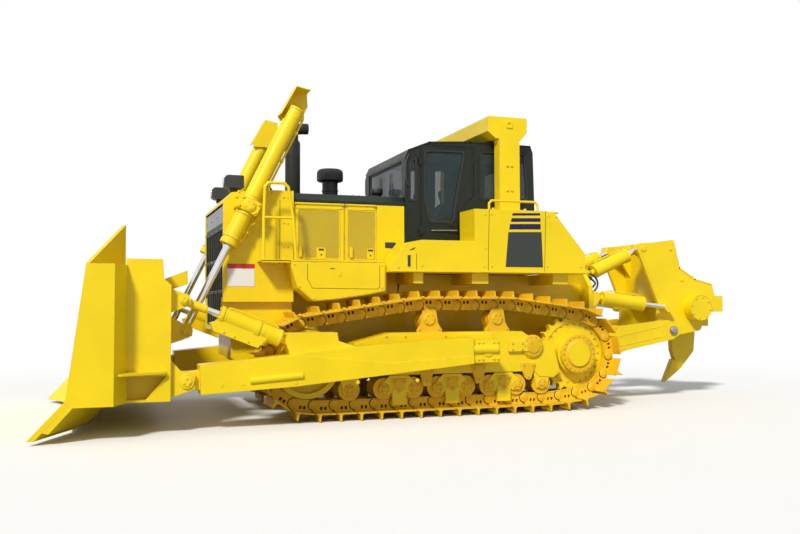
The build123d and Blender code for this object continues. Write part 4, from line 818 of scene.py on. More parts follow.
    # bolts of the recoil housing along the frame's top
    for x in (1.05, 0.78, 0.20, -0.20):
        hardware.bolt((x, centre_y + sign * 0.190, 1.085), outward, 0.012)
    # final drive: bolted flange, cover ring and plug; toothed segments bolted to the rim
    low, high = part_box(f"sprocket_{side_name}")
    hub = Vector(((low.x + high.x) / 2, 0, (low.z + high.z) / 2))

    def station(reach):
        """A point on the sprocket's axis, that far out from the track's middle."""
        return Vector((hub.x, centre_y + sign * reach, hub.z))

    hardware.turned(station(0.214), outward, ((0.278, -0.006), (0.278, 0.004), (0.272, 0.008), (0.205, 0.009),
                                                   (0.190, 0.020), (0.182, 0.034)), 56)
    hardware.bolt_ring(station(0.221), outward, 0.245, 20, 0.012)
    hardware.turned(station(0.249), outward,
                    ((0.176, -0.008), (0.172, 0.0), (0.120, 0.0005), (0.110, 0.0008)), 48)
    hardware.bolt_ring(station(0.246), outward, 0.158, 16, 0.007)
    hardware.turned(station(0.2475), outward, ((0.034, 0), (0.034, 0.002)), 6)
    hardware.bolt_ring(station(0.034), outward, 0.425, 25, 0.015, phase=0.12)
    # idler's bearing cap
    low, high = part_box(f"idler_{side_name}")
    cap = Vector(((low.x + high.x) / 2, high.y if sign > 0 else low.y, (low.z + high.z) / 2))
    hardware.turned(cap, outward, ((0.092, -0.012), (0.092, 0.004), (0.080, 0.010), (0.030, 0.012)), 30)
    hardware.bolt_ring(cap + Vector((0, sign * 0.006, 0)), outward, 0.064, 6, 0.010)
    hardware.piece(f"undercarriage_hardware_{side_name}", track_yellow_shaded, "tractor")

# ---------------------------------------------------------------- helpers for trim


def ribbon(soup, outline, width, low, high, view=side):
    """A flat strip along a line of corners."""
    corners = [Vector(corner) for corner in outline]
    for first, second in zip(corners, corners[1:]):
        way = (second - first).normalized()
        across = Vector((-way.y, way.x)) * width / 2
        first, second = first - way * width / 2, second + way * width / 2
        soup.plate([tuple(p) for p in (first - across, second - across, second + across, first + across)],
                   low, high, view)


def frame_of(soup, outline, width, low, high, view=side, radius=0.0):
    """A closed band of even width inside an outline."""
    outer = rounded(outline, radius) if radius else list(outline)
    inner = inset(outline, width)
    inner = rounded(inner, max(0.001, radius - width)) if radius else inner
    soup.plate(outer, low, high, view, (inner,))


def both_sides(name, finish, body, soup, **settings):
    """One piece with the same faces on the left and the right."""
    whole = Soup()
    whole.add(soup.points, soup.faces)
    whole.mirrored(soup)
    return whole.piece(name, finish, body, **settings)


def pair_of(name, finish, body, soup, **settings):
    """A left piece and its mirror image, each on its own body."""
    soup.piece(f"{name}_left", finish, f"{body}_left", **settings)
    other = Soup()
    other.mirrored(soup)
    other.piece(f"{name}_right", finish, f"{body}_right", **settings)


# where the left side's faces stand in the CAD (Y), and the tops of the hood and of the fender's step (Z)
cover_face = wall_face = 0.950
guard_step, post_face, locker_face = 1.000, 1.150, 1.350
cheek_face, bearing_face, arm_face = 0.560, 0.750, 0.800
hood_top, step_top = 3.050, 2.400
GLAZING = (0.917, 0.9505)   # inner and outer side of the cab's glazing rubber

# ---------------------------------------------------------------- fenders and cab surroundings

fender_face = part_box("fender_left")[1].y
stripes = Soup()
for corners in (
    ((-0.808, 2.806), (-1.236, 2.820), (-1.243, 2.786), (-0.797, 2.772)),
    ((-0.790, 2.735), (-1.243, 2.748), (-1.245, 2.696), (-0.776, 2.682)),
    ((-0.762, 2.651), (-1.245, 2.665), (-1.248, 2.587), (-0.751, 2.574)),
):
    stripes.plate(corners, *on(fender_face, 0.0015))
both_sides("fender_stripes", navy, "tractor", stripes)

panel = Soup()
panel.plate(((-0.738, 2.537), (-1.258, 2.550), (-1.277, 2.046), (-0.690, 2.045)),
            *on(fender_face, 0.003))
both_sides("fender_panel", panel_paint, "tractor", panel)

seams = Soup()
for line in (
    ((-0.445, 2.848), (-0.432, 2.420), (-0.423, 1.965)),
    ((-1.330, 2.848), (-1.304, 1.965)),
    ((0.640, 2.210), (0.640, 1.965)),
):
    ribbon(seams, line, 0.008, *on(fender_face, 0.0012))
# seams of the guard and the covers' surround
ribbon(seams, ((2.413, 2.070), (2.413, 2.930)), 0.008, *on(guard_step, 0.0014))
ribbon(seams, ((1.512, 2.110), (1.512, 2.900)), 0.007, *on(cover_face, 0.0012))
both_sides("panel_seams", seam_paint, "tractor", seams)

trim = Soup()
# folded edge along the fender's foot, the frame round its latch, and bolts
trim.block((-2.02, fender_face - 0.001, 1.964), (1.00, fender_face + 0.004, 1.990))
frame_of(trim, rect(0.779, 2.197, 0.718, 2.022), 0.010,
         *on(fender_face, 0.004))
trim.bolts(((-0.380, 2.780), (-0.380, 2.300), (-0.480, 2.780), (-0.480, 2.050), (-1.370, 2.780), (-1.350, 2.060),
             (-1.900, 2.060), (-1.500, 2.780), (0.560, 2.050), (-0.360, 2.050), (0.900, 2.020)), fender_face, 0.011)
both_sides("fender_trim", yellow, "tractor", trim)

dark = Soup()
dark.plate(rounded(rect(0.769, 2.187, 0.728, 2.032), 0.006),
           *on(fender_face, 0.0025))
dark.turned((0.7485, fender_face, 2.110), OUT, ((0.014, 0), (0.014, 0.006), (0.008, 0.008)), 14)
dark.turned((0.690, fender_face, 2.270), OUT, ((0.010, 0), (0.010, 0.003)), 12)
dark.plate(((0.660, 2.296), (0.735, 2.262), (0.731, 2.250), (0.656, 2.284)), *on(fender_face, 0.002))
both_sides("fender_latch", black, "tractor", dark)

# ---------------------------------------------------------------- hood and engine covers

for name, rear, front, panel_x, latch_x in (
    ("engine_cover_front", 1.503, 2.213, (1.576, 2.150), (1.767, 1.895)),
    ("engine_cover_rear", 1.040, 1.497, (1.085, 1.450), (1.077, 1.173)),
):
    rear, front = rear, front
    outline = [(panel_x[0], 2.153), (panel_x[1], 2.160), (panel_x[1], 2.825),
               (panel_x[0], 2.820)]
    if name.endswith("rear"):
        # the solid plate's foot beside the punched sheet
        outline[0] = (1.050, 2.140)
        outline[3] = (1.050, 2.808)
    latch = [(latch_x[0], 2.150), (latch_x[1], 2.150), (latch_x[1], 2.304),
             (latch_x[0], 2.304)]
    sheet = Soup()
    sheet.plate(rounded(outline, 0.030), *on(cover_face, 0.0015))
    pair_of(f"{name}_sheet", mesh_sheet, name, sheet)
    rim = Soup()
    frame_of(rim, inset(outline, -0.016), 0.017, *on(cover_face, 0.006), radius=0.040)
    frame_of(rim, rect(rear + 0.006, 2.122, front - 0.006, 2.882),
             0.012, *on(cover_face, 0.003))
    rim.plate(rounded(latch, 0.012), *on(cover_face, 0.008))
    # grab handle's bow and hinge bolts
    x = front - 0.090
    rim.tube(((x, cover_face + 0.004, 2.165), (x, cover_face + 0.022, 2.180), (x, cover_face + 0.024, 2.245),
              (x, cover_face + 0.022, 2.300), (x, cover_face + 0.004, 2.315)), 0.007)
    for k in range(5):
        rim.bolt((rear + 0.06 + k * (front - rear - 0.12) / 4, cover_face, 2.855), OUT, 0.008)
    pair_of(f"{name}_rim", yellow, name, rim)
    lock = Soup()
    a = (latch_x[0] + latch_x[1]) / 2
    lock.plate(rounded(rect(a - 0.036, 2.262, a + 0.036, 2.288), 0.004),
               cover_face + 0.007, cover_face + 0.011)
    lock.turned((a, cover_face + 0.007, 2.205), OUT, ((0.012, 0), (0.012, 0.005), (0.007, 0.007)), 14)
    pair_of(f"{name}_lock", black, name, lock)

hood = Soup()
hood.plate(rounded(rect(0.910, 2.396, 0.753, 2.313), 0.008),
           *on(cover_face, 0.003))
both_sides("hood_blank_plate", panel_paint, "tractor", hood)

hood = Soup()
for x in (0.90, 1.29, 1.78, 2.17):
    hood.block((x - 0.004, -0.855, 3.0490), (x + 0.004, 0.855, 3.0515))
for y in (-0.52, 0.52):
    hood.plate(rect(0.66, y - 0.004, 2.19, y + 0.004), *on(hood_top, 0.0015), plan)
for x in (0.70, 0.86, 0.94, 1.25, 1.33, 1.74, 1.82, 2.14):
    for y in (-0.82, -0.56, -0.48, 0.48, 0.56, 0.82):
        hood.bolt((x, y, 3.050), UP, 0.010)
# filler covers
for x, y in ((1.02, 0.30), (1.95, -0.30)):
    hood.turned((x, y, 3.050), UP, ((0.075, -0.002), (0.075, 0.012), (0.060, 0.020), (0.02, 0.022)), 30)
hood.piece("hood_seams_and_bolts", charcoal, "tractor")

# the engine covers' hinge pads along the hood
rail = Soup()
for x in (1.20, 1.70, 2.02):
    rail.block((x - 0.030, 0.951, 2.925), (x + 0.030, 0.957, 2.955))
    rail.bolt((x - 0.018, 0.956, 2.940), OUT, 0.007)
    rail.bolt((x + 0.018, 0.956, 2.940), OUT, 0.007)
both_sides("hood_hinge_pads", charcoal, "tractor", rail)

# anti-slip strips on the walk plates and fender tops
grip = Soup()
deck_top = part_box("side_deck_left")[1].z
for x in (1.16, 1.30, 1.44, 1.58, 1.72, 1.86, 2.00, 2.14, 2.28, 2.42, 2.56):
    grip.plate(rounded(rect(x - 0.045, 1.035, x + 0.045, 1.300), 0.008, 3), *on(deck_top, 0.003), plan)
for x in (-0.10, 0.06, 0.22, 0.38, 0.54):
    grip.plate(rounded(rect(x - 0.055, 1.030, x + 0.055, 1.450), 0.008, 3), *on(step_top, 0.003), plan)
both_sides("walkway_grip", rubber, "tractor", grip)

# ---------------------------------------------------------------- radiator guard, grille, lamps

guard_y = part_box("radiator_guard")[1].y
sign = Soup()
sign.plate(rect(3.108, 1.765, 2.750, 2.000), *on(guard_y, 0.003))
both_sides("blank_sign", white, "tractor", sign)
sign = Soup()
sign.plate(rect(3.108, 2.002, 2.750, 2.064), *on(guard_y, 0.003))
both_sides("blank_sign_header", red, "tractor", sign)

guard = Soup()
guard.bolts(grid((2.30, 2.36), (2.97, 2.62, 2.30)), guard_y, 0.011)
guard.bolts(grid((2.52, 2.74, 2.96), (3.020,)), guard_y, 0.012)
frame_of(guard, rect(2.460, 2.080, 2.690, 2.560), 0.010, *on(guard_y, 0.003), radius=0.03)
# bearing plates of the lift cylinders' yokes
guard.plate(rounded(rect(2.700, 2.630, 3.040, 3.000), 0.06), *on(guard_y, 0.014))
for dx in (-0.13, 0.13):
    for dz in (-0.14, 0.14):
        guard.bolt((2.870 + dx, guard_y + 0.014, 2.815 + dz), OUT, 0.018)
both_sides("guard_bolts", yellow, "tractor", guard)

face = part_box("grille")[1].x
grille = Soup()
rows = 9
for k in range(rows + 1):
    y = -0.90 + 1.80 * k / rows
    foot = 1.262 if abs(y) < 0.80 else 1.585   # the outer bars end over the guard's lower corners
    grille.plate(rect(y - 0.016, foot, y + 0.016, 2.590), face - 0.002, face + 0.010, head_on)
for z in (1.70, 2.13, 2.55):
    grille.plate(rect(-0.915, z - 0.020, 0.915, z + 0.020), face - 0.002, face + 0.013, head_on)
    for y in (-0.89, -0.45, 0.0, 0.45, 0.89):
        grille.bolt((face + 0.013, y, z), AHEAD, 0.010)
grille.piece("grille_bars", charcoal, "tractor")
grille = Soup()
grille.plate(rounded(rect(-0.925, 2.615, 0.925, 2.842), 0.02), face - 0.002, face + 0.008, head_on)
for y in (-0.86, -0.3, 0.3, 0.86):
    grille.bolt((face + 0.008, y, 2.728), AHEAD, 0.010)
grille.piece("grille_top_sheet", grey, "tractor")

lamps = Soup()
lenses = Soup()
for y in (-0.660, 0.660):
    hood_shape = rounded(
        [(2.860, 3.100), (3.070, 3.100), (3.112, 3.130), (3.126, 3.200),
         (3.098, 3.268), (3.070, 3.274), (2.860, 3.274)], 0.016, 4)
    lamps.plate(hood_shape, y - 0.115, y + 0.115)
    lamps.plate(((2.940, 3.050), (3.040, 3.050), (3.050, 3.110), (2.930, 3.110)), y - 0.055, y + 0.055)
    lenses.turned((3.122, y, 3.183), AHEAD, ((0.070, 0), (0.070, 0.006), (0.045, 0.0095)), 30)
lamps.piece("headlamp_housings", black, "tractor", replaces=("headlamps",))
lenses.piece("headlamp_lenses", lens_clear, "tractor")

# ---------------------------------------------------------------- exhaust and air cleaners

stack_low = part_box("exhaust")[0]
stack_x, stack_y = 2.090, 0.300
stack = Soup()
profile = [
    (0.104, 0.0), (0.108, 0.01), (0.108, 0.78), (0.104, 0.800), (0.090, 0.822), (0.080, 0.830), (0.080, 0.900),
]
stack.turned((stack_x, stack_y, hood_top), UP, profile, 40)
for z in (0.06, 0.60):
    stack.turned((stack_x, stack_y, hood_top + z), UP, rect(0.1078, -0.012, 0.1079, 0.012), 40)
line = smooth_line([Vector(p) for p in (
    (stack_x, stack_y, hood_top + 0.86), (stack_x, stack_y, hood_top + 0.935),
    (stack_x - 0.045, stack_y, hood_top + 0.985), (stack_x - 0.120, stack_y, hood_top + 1.004),
    (stack_low.x + 0.010, stack_y, hood_top + 1.008))], 6)
stack.tube(line, 0.078, sides=30, steps=1)
stack.piece("exhaust_stack", pipe, "tractor", replaces=("exhaust",), angle=40)
mouth = Soup()
way = (line[-1] - line[-2]).normalized()
mouth.turned(line[-1] - way * 0.004, tuple(way), ((0.070, 0), (0.070, 0.0062)), 30)
mouth.piece("exhaust_mouth", rubber, "tractor")
# black dots for the holes of the stack's heat shield: painted shade behind them
shield = Soup()
for k in range(9):
    for row in range(12):
        turn = 2 * pi * (k + 0.5 * (row % 2)) / 22 - 1.1
        z = hood_top + 0.16 + row * 0.034
        spot = Vector((stack_x, stack_y, z)) + Vector((cos(turn), sin(turn), 0)) * 0.1065
        shield.turned(spot, (cos(turn), sin(turn), 0), ((0.008, 0), (0.008, 0.0012)), 8)
shield.piece("exhaust_perforations", rubber, "tractor")

cleaner = Soup()
# the larger and the smaller one: station, radii of stem and bowl, heights of stem, bowl and crown
for x, stem, bowl, stem_rise, bowl_rise, crown_rise in (
    (1.460, 0.115, 0.195, 0.290, 0.390, 0.490), (0.730, 0.060, 0.095, 0.130, 0.180, 0.230),
):
    profile = [
        (stem, 0), (stem, stem_rise - 0.02), (stem * 1.02, stem_rise), (bowl * 0.90, stem_rise + 0.012),
        (bowl * 0.985, stem_rise + 0.022), (bowl, stem_rise + 0.040),
        (bowl, bowl_rise + 0.2 * (crown_rise - bowl_rise)),
        (bowl * 0.985, crown_rise * 0.5 + bowl_rise * 0.5), (bowl * 0.93, crown_rise * 0.75 + bowl_rise * 0.25),
        (bowl * 0.80, crown_rise - 0.008), (bowl * 0.55, crown_rise - 0.002), (bowl * 0.16, crown_rise),
    ]
    cleaner.turned((x, 0, hood_top), UP, profile, 48)
    cleaner.turned((x, 0, hood_top + stem_rise * 0.55), UP,
                   ((stem * 1.02, -0.012), (stem * 1.06, -0.010), (stem * 1.06, 0.010), (stem * 1.02, 0.012)), 40)
    for k in range(20):
        turn = 2 * pi * k / 20
        way = Vector((cos(turn), sin(turn), 0))
        cross = Vector((-sin(turn), cos(turn), 0)) * 0.004
        base = Vector((x, 0, hood_top + (stem_rise + bowl_rise) / 2 + 0.02))
        half = Vector((0, 0, (bowl_rise - stem_rise) * 0.28))
        rib = [base + way * (bowl - 0.003) + a + b for a in (-cross, cross) for b in (-half, half)]
        rib += [base + way * (bowl - 0.0001) + a + b for a in (-cross, cross) for b in (-half, half)]
        cleaner.add(rib, ((0, 1, 3, 2), (4, 6, 7, 5), (0, 4, 5, 1), (2, 3, 7, 6), (0, 2, 6, 4), (1, 5, 7, 3)))
cleaner.piece("air_cleaner_bowls", rubber, "tractor", replaces=("air_cleaners",), angle=40)

# ---------------------------------------------------------------- cab

door_window = ((0.325, 3.060), (0.318, 3.745), (-0.330, 3.760), (-0.165, 2.900), (-0.150, 2.700), (0.250, 2.700))
front_quarter = ((0.430, 3.000), (0.545, 3.000), (0.545, 3.570), (0.430, 3.640))
rear_quarter = ((-0.560, 3.060), (-0.560, 3.770), (-1.290, 3.770), (-1.340, 3.060))

gasket = Soup()
frame_of(gasket, door_window, 0.030, *GLAZING, radius=0.075)
ring = Soup()
frame_of(ring, inset(door_window, -0.022), 0.026, *on(wall_face, 0.004), radius=0.075)
pair_of("door_window_gasket", rubber, "cab_door", gasket)
# the door's handle, lock, grab bar and folded rim
door = Soup()
frame_of(door, ((0.362, 2.448), (0.362, 3.802), (-0.442, 3.802), (-0.442, 3.104), (-0.197, 2.866),
                (-0.197, 2.448)), 0.014, *on(wall_face, 0.005))
door.add(ring.points, ring.faces)
door.plate(rounded(rect(-0.185, 2.640, -0.060, 2.690), 0.008), *on(wall_face, 0.010))
pair_of("cab_door_rim", charcoal, "cab_door", door)
bar = Soup()
bar.tube((
    (0.200, wall_face, 2.579), (0.190, wall_face + 0.024, 2.580), (0.0, wall_face + 0.026, 2.584),
    (-0.150, wall_face + 0.026, 2.588), (-0.172, wall_face + 0.024, 2.589), (-0.180, wall_face, 2.590)), 0.009)
pair_of("cab_door_bar", steel, "cab_door", bar)

cab = Soup()
for outline, radius in ((front_quarter, 0.030), (rear_quarter, 0.070)):
    frame_of(cab, outline, 0.024, *GLAZING, radius=radius)
both_sides("cab_side_gaskets", rubber, "tractor", cab)
screens = Soup()
for x, low, high in ((0.580, 2.960, 3.580), (-1.410, 3.060, 3.700)):
    frame_of(screens, rect(-0.800, low, 0.800, high), 0.030, x - 0.012, x + 0.012, head_on, radius=0.06)
for row in (1, -1):
    low, high = between(row, *GLAZING)
    screens.block((-0.950, low, 3.070), (-0.910, high, 3.765))
screens.piece("screen_gaskets", rubber, "tractor")

trim = Soup()
frame_of(trim, inset(rear_quarter, -0.026), 0.028, *on(wall_face, 0.004), radius=0.075)
frame_of(trim, inset(front_quarter, -0.018), 0.020, *on(wall_face, 0.004), radius=0.03)
# roof's gutter, corner posts and bolts
ribbon(trim, ((0.600, 3.622), (0.552, 3.722), (0.238, 3.850), (-0.400, 3.888), (-1.370, 3.878)), 0.020,
       *on(wall_face, 0.010))
ribbon(trim, ((0.590, 2.420), (0.590, 3.600)), 0.022, *on(wall_face, 0.006))
trim.bolts(grid((0.560,), (2.10, 2.30, 2.52, 2.80)), wall_face, 0.010)
trim.bolts(grid((-0.505,), (3.00, 3.20, 3.40, 3.60)), wall_face, 0.009)
both_sides("cab_side_trim", charcoal, "tractor", trim)
# black grab rail in front of the door
rail = Soup()
rail.tube((
    (0.545, 0.945, 3.665), (0.565, 0.968, 3.640), (0.600, 0.975, 3.560), (0.606, 0.975, 3.450),
    (0.604, 0.975, 3.330), (0.590, 0.973, 3.250), (0.565, 0.968, 3.205), (0.545, 0.945, 3.190)), 0.012)
both_sides("cab_grab_rail", black, "tractor", rail)

# wipers and work lamps on the cab
wiper = Soup()
for y in (-0.45, 0.45):
    wiper.tube(((0.600, y, 2.985), (0.606, y * 0.8, 3.150), (0.604, y * 0.55, 3.330)), 0.007)
    wiper.tube(((0.598, y * 0.55 - 0.02, 3.130), (0.598, y * 0.55 + 0.01, 3.480)), 0.006)
    wiper.turned((0.596, y, 2.985), AHEAD, ((0.022, 0), (0.022, 0.010), (0.014, 0.0125)), 18)
wiper.tube(((-1.424, 0.0, 3.080), (-1.420, 0.10, 3.220), (-1.412, 0.16, 3.360)), 0.007)
wiper.piece("wipers", black, "tractor")

work_lamps, work_lenses = Soup(), Soup()
for y in (-1.178, 1.178):
    work_lamps.plate(rounded(rect(-2.036, 2.120, -1.985, 2.250), 0.01), y - 0.090, y + 0.090)
    work_lenses.plate(rounded(rect(y - 0.075, 2.135, y + 0.075, 2.235), 0.010), -2.0395, -2.034, head_on)
work_lamps.piece("work_lamp_housings", black, "tractor")
work_lenses.piece("work_lamp_lenses", lens_clear, "tractor")

# ---------------------------------------------------------------- rollover frame

post = Soup()
post.bolts(grid((-0.900, -0.970), (3.540, 3.180), True), post_face, 0.020)
post.plate(rounded(rect(-0.880, 4.090, -0.990, 4.196), 0.03), post_face - 0.001, post_face + 0.015,
           holes=(circle(-0.935, 4.143, 0.024),))
for x in (-1.160, -0.650):
    for y in (1.010, 1.190):
        post.bolt((x, y, 2.890), UP, 0.020)
for x in (-0.775, -1.095):
    ribbon(post, ((x, 3.900), (x, 2.895)), 0.010, *on(post_face, 0.003))
both_sides("rollover_bolts", yellow, "tractor", post)

# ---------------------------------------------------------------- lockers beside the engine

deck_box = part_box("side_deck_left")
front_x, rear_x = deck_box[1].x, deck_box[0].x
locker = Soup()
# walk plate over them, with a folded outer edge
locker.plate([(rear_x, 0.560), (2.217, 0.560), (2.217, 1.0003), (front_x, 1.0003), (front_x, locker_face),
              (1.040, locker_face), (1.040, 0.960), (rear_x, 0.960)], 2.090, deck_box[1].z, plan)
shell = ((1.032, 1.700), (1.300, 1.650), (1.700, 1.592), (2.020, 1.566), (2.060, 1.590), (2.245, 1.740),
         (2.335, 2.030), (2.335, 2.0905), (1.032, 2.0905))
locker.plate(shell, 1.004, locker_face - 0.006)
locker.plate(inset(shell, 0.012), locker_face - 0.007, locker_face)
locker.block((0.870, 0.6403, 1.600), (1.850, 0.925, 2.090))
locker.block((2.340, locker_face - 0.020, 2.070), (2.715, locker_face, 2.1005))
locker.bolts(((1.080, 2.050), (1.080, 1.740), (2.280, 2.050), (2.215, 1.760), (2.020, 1.600)), locker_face, 0.010)
locker.plate(rounded(rect(1.655, 1.900, 1.700, 1.950), 0.006), *on(locker_face, 0.006))
mirror = Soup()
mirror.mirrored(locker)
for name, soup in (("right", mirror), ("left", locker)):
    soup.piece(f"side_lockers_{name}", yellow, "tractor", replaces=(f"side_deck_{name}",))
door_seam = Soup()
ribbon(door_seam, ((2.113, 2.050), (2.113, 1.858), (2.046, 1.739), (1.153, 1.730), (1.118, 1.752),
                   (1.117, 2.050)), 0.007, *on(locker_face, 0.0015))
ribbon(door_seam, ((1.750, 2.000), (1.800, 2.000)), 0.012, *on(locker_face, 0.003))
both_sides("locker_seams", seam_paint, "tractor", door_seam)

# ---------------------------------------------------------------- cylinders


class Line:
    """A cylinder's axis in the side view: points at a distance along it and an offset to its left."""

    def __init__(self, start, end, y):
        self.start = Vector((start[0], start[1]))
        self.way = (Vector((end[0], end[1])) - self.start).normalized()
        self.y = y

    def at(self, s, off=0.0, dy=0.0):
        spot = self.start + self.way * s + Vector((-self.way.y, self.way.x)) * off
        return Vector((spot.x, self.y + dy, spot.y))

    @property
    def axis(self):
        return Vector((self.way.x, 0, self.way.y))

    def ring(self, soup, s, radius, width):
        """A collar round the axis, with its edges cut back."""
        soup.turned(self.at(s), self.axis,
                    ((radius - 0.006, -width / 2), (radius, -width / 2 + 0.004), (radius, width / 2 - 0.004),
                     (radius - 0.006, width / 2)), 36)

    def bolts(self, soup, s, radius, count, size, phase=0.0):
        """Bolts evenly round the axis, which face along it."""
        across = Vector((self.axis.z, 0, -self.axis.x))
        for k in range(count):
            turn = phase + 2 * pi * k / count
            soup.bolt(self.at(s) + (across * cos(turn) + Vector(OUT) * sin(turn)) * radius, self.axis, size)


line = Line((2.870, 2.815), (3.664, 1.190), 1.150)
fit = Soup()
for s, radius, width in (
    (-1.462, 0.117, 0.030), (-1.330, 0.1125, 0.016), (0.110, 0.117, 0.040), (-0.110, 0.117, 0.040),
    (0.470, 0.1215, 0.018), (0.540, 0.1235, 0.046),
):
    line.ring(fit, s, radius, width)
line.bolts(fit, 0.570, 0.092, 10, 0.013)
# the pipe behind the barrel, its clamps and ports; off is to the left of the way, the front side
pipe_off = -0.136
fit.tube([line.at(-1.400, -0.095), line.at(-1.385, pipe_off), line.at(-1.0, pipe_off), line.at(-0.260, pipe_off),
          line.at(-0.140, pipe_off - 0.050), line.at(0.0, pipe_off - 0.056), line.at(0.140, pipe_off - 0.048),
          line.at(0.240, pipe_off), line.at(0.430, pipe_off), line.at(0.455, -0.095)], 0.015, sides=12)
for s in (-1.180, -0.750, -0.330, 0.320):
    fit.plate([tuple(line.at(s + a, b).xz) for a, b in rect(-0.018, -0.100, 0.018, -0.158)], 1.128, 1.172)
    fit.bolt(line.at(s, -0.134, 0.022), OUT, 0.009)
for s in (-1.405, 0.460):
    fit.plate([tuple(line.at(s + a, b).xz) for a, b in rect(-0.035, -0.085, 0.035, -0.130)], 1.115, 1.185)
# yoke: bearing caps with bolts
for a in (-0.060, 0.060):
    for b in (-0.112, 0.112):
        fit.bolt(line.at(a, b, 0.130), OUT, 0.016)
fit.turned(line.at(0, 0, 0.144), OUT, ((0.078, 0), (0.078, 0.004), (0.066, 0.010), (0.020, 0.012)), 30)
for k in range(4):
    turn = pi / 4 + k * pi / 2
    fit.bolt(line.at(0.050 * cos(turn), 0.050 * sin(turn), 0.152), OUT, 0.009)
for s in (-0.135, 0.135):
    line.ring(fit, s, 0.119, 0.010)
both_sides("lift_cylinder_fittings", yellow, "lift_barrels", fit)

line = Line((2.330, 1.010), (3.745, 1.575), 1.785)
fit = Soup()
for s, radius, width in (
    (0.265, 0.110, 0.030), (0.480, 0.108, 0.014), (0.985, 0.110, 0.012), (1.035, 0.116, 0.050),
):
    line.ring(fit, s, radius, width)
line.bolts(fit, 1.060, 0.086, 8, 0.012, phase=0.39)
for s in (0.62, 0.80, 0.94):
    fit.bolt(line.at(s, -0.185, 0.085), OUT, 0.012)
fit.tube([line.at(0.330, 0.090), line.at(0.345, 0.124), line.at(0.6, 0.126), line.at(0.93, 0.126),
          line.at(0.965, 0.095)], 0.011)
both_sides("brace_cylinder_fittings", yellow, "brace_barrels", fit)

for name, start, end, y, reach in (
    ("ripper_tilt", (-2.620, 1.975), (-3.610, 2.420), 0.430, 0.830),
    ("ripper_raise", (-2.570, 1.630), (-3.940, 1.470), 0.722, 0.900),
):
    line = Line(start, end, y)
    fit = Soup()
    for s, radius, width in ((0.168, 0.113, 0.030), (0.205, 0.1105, 0.012), (reach - 0.085, 0.111, 0.012),
                             (reach - 0.028, 0.118, 0.052)):
        line.ring(fit, s, radius, width)
    line.bolts(fit, reach, 0.088, 8, 0.012, phase=0.39)
    fit.tube([line.at(0.235, -0.095), line.at(0.250, -0.128), line.at(0.45, -0.130), line.at(reach - 0.12, -0.130),
              line.at(reach - 0.085, -0.095)], 0.011)
    both_sides(f"{name}_cylinder_fittings", yellow, f"{name}_barrels", fit)

# hoses between the tractor and the cylinders, which turn about pins close to the hoses' ends
hoses = Soup()
for dy in (0.0, 0.045):
    hoses.tube(((2.480, 0.700 + dy, 3.058), (2.500, 0.720 + dy, 3.110), (2.620, 0.840 + dy, 3.150),
                (2.760, 0.960 + dy, 3.085), (2.830, 1.020 + dy, 2.960),
                (2.850, 1.045 + dy, 2.880)), 0.017)
for dx, dz in ((0.0, 0.0), (0.045, -0.050)):
    hoses.tube(((-2.470, 0.565, 2.010 + dz), (-2.560, 0.565, 2.010 + dz),
                (-2.690 + dx, 0.565, 1.960 + dz), (-2.750 + dx, 0.565, 1.850),
                (-2.700 + dx, 0.565, 1.740 - dz), (-2.580, 0.565, 1.690 - dz),
                (-2.470, 0.565, 1.685 - dz)), 0.015)
hoses.tube(((-2.470, 0.300, 2.000), (-2.560, 0.300, 2.090), (-2.660, 0.330, 2.110),
            (-2.740, 0.345, 2.060), (-2.700, 0.345, 1.930), (-2.560, 0.330, 1.850),
            (-2.470, 0.320, 1.830)), 0.016)
both_sides("hydraulic_hoses", rubber, "tractor", hoses)

# ---------------------------------------------------------------- blade and push arms

edge = Soup()
foot, head = Vector((5.030, 0.050)), Vector((4.655, 0.454))
rise = (head - foot).normalized()
WING_START, WING_SLOPE = 1.4, 0.43   # where the blade's wings begin, and how far they come forward for each metre
for y in [0.10 + 0.20 * k for k in range(11)]:
    way = Vector(OUT) if y < WING_START else Vector((WING_SLOPE, 1, 0)).normalized()
    normal = way.cross(Vector((rise.x, 0, rise.y))).normalized()
    normal = normal if normal.x > 0 else -normal
    out = WING_SLOPE * max(0.0, y - WING_START)
    for s in (0.310, 0.440):
        spot = foot + rise * s
        edge.bolt((spot.x + out, y, spot.y), normal, 0.017)
both_sides("cutting_edge_bolts", steel, "blade", edge)

caps = Soup()
for x, z, y, inner, radius in (
    (3.710, 0.610, 1.952, 1.618, 0.062), (3.664, 1.190, 1.269, 1.031, 0.046), (3.745, 1.575, 1.912, 1.658, 0.042),
):
    for face, way in ((y, 1), (inner, -1)):
        caps.turned((x, face, z), (0, way, 0),
                    ((radius, -0.012), (radius, 0.006), (radius * 0.86, 0.012), (radius * 0.3, 0.013)), 28)
        for k in range(3):
            turn = pi / 2 + 2 * pi * k / 3
            caps.bolt((x + radius * 0.55 * cos(turn), face + way * 0.010, z + radius * 0.55 * sin(turn)),
                      (0, way, 0), radius * 0.18)
both_sides("blade_pin_caps", yellow, "blade", caps)

arm = Soup()
for x, z in ((3.300, 0.560), (3.050, 0.560), (2.400, 0.560), (1.600, 0.540), (0.800, 0.540)):
    arm.turned((x, 1.9595 if x > 1.72 else 1.9498, z), OUT, ((0.026, 0), (0.026, 0.0015), (0.018, 0.002)), 20)
# housing's cap over the trunnion, with bolts above and below
arm.bolts(grid((-0.370, -0.310, -0.150, -0.090), (1.010, 0.790), True), 1.906, 0.014)
arm.turned((-0.230, 1.9045, 0.900), OUT, ((0.085, -0.004), (0.085, 0.006), (0.074, 0.012), (0.03, 0.013)), 32)
both_sides("push_arm_fittings", yellow, "push_arms", arm)

# ---------------------------------------------------------------- ripper

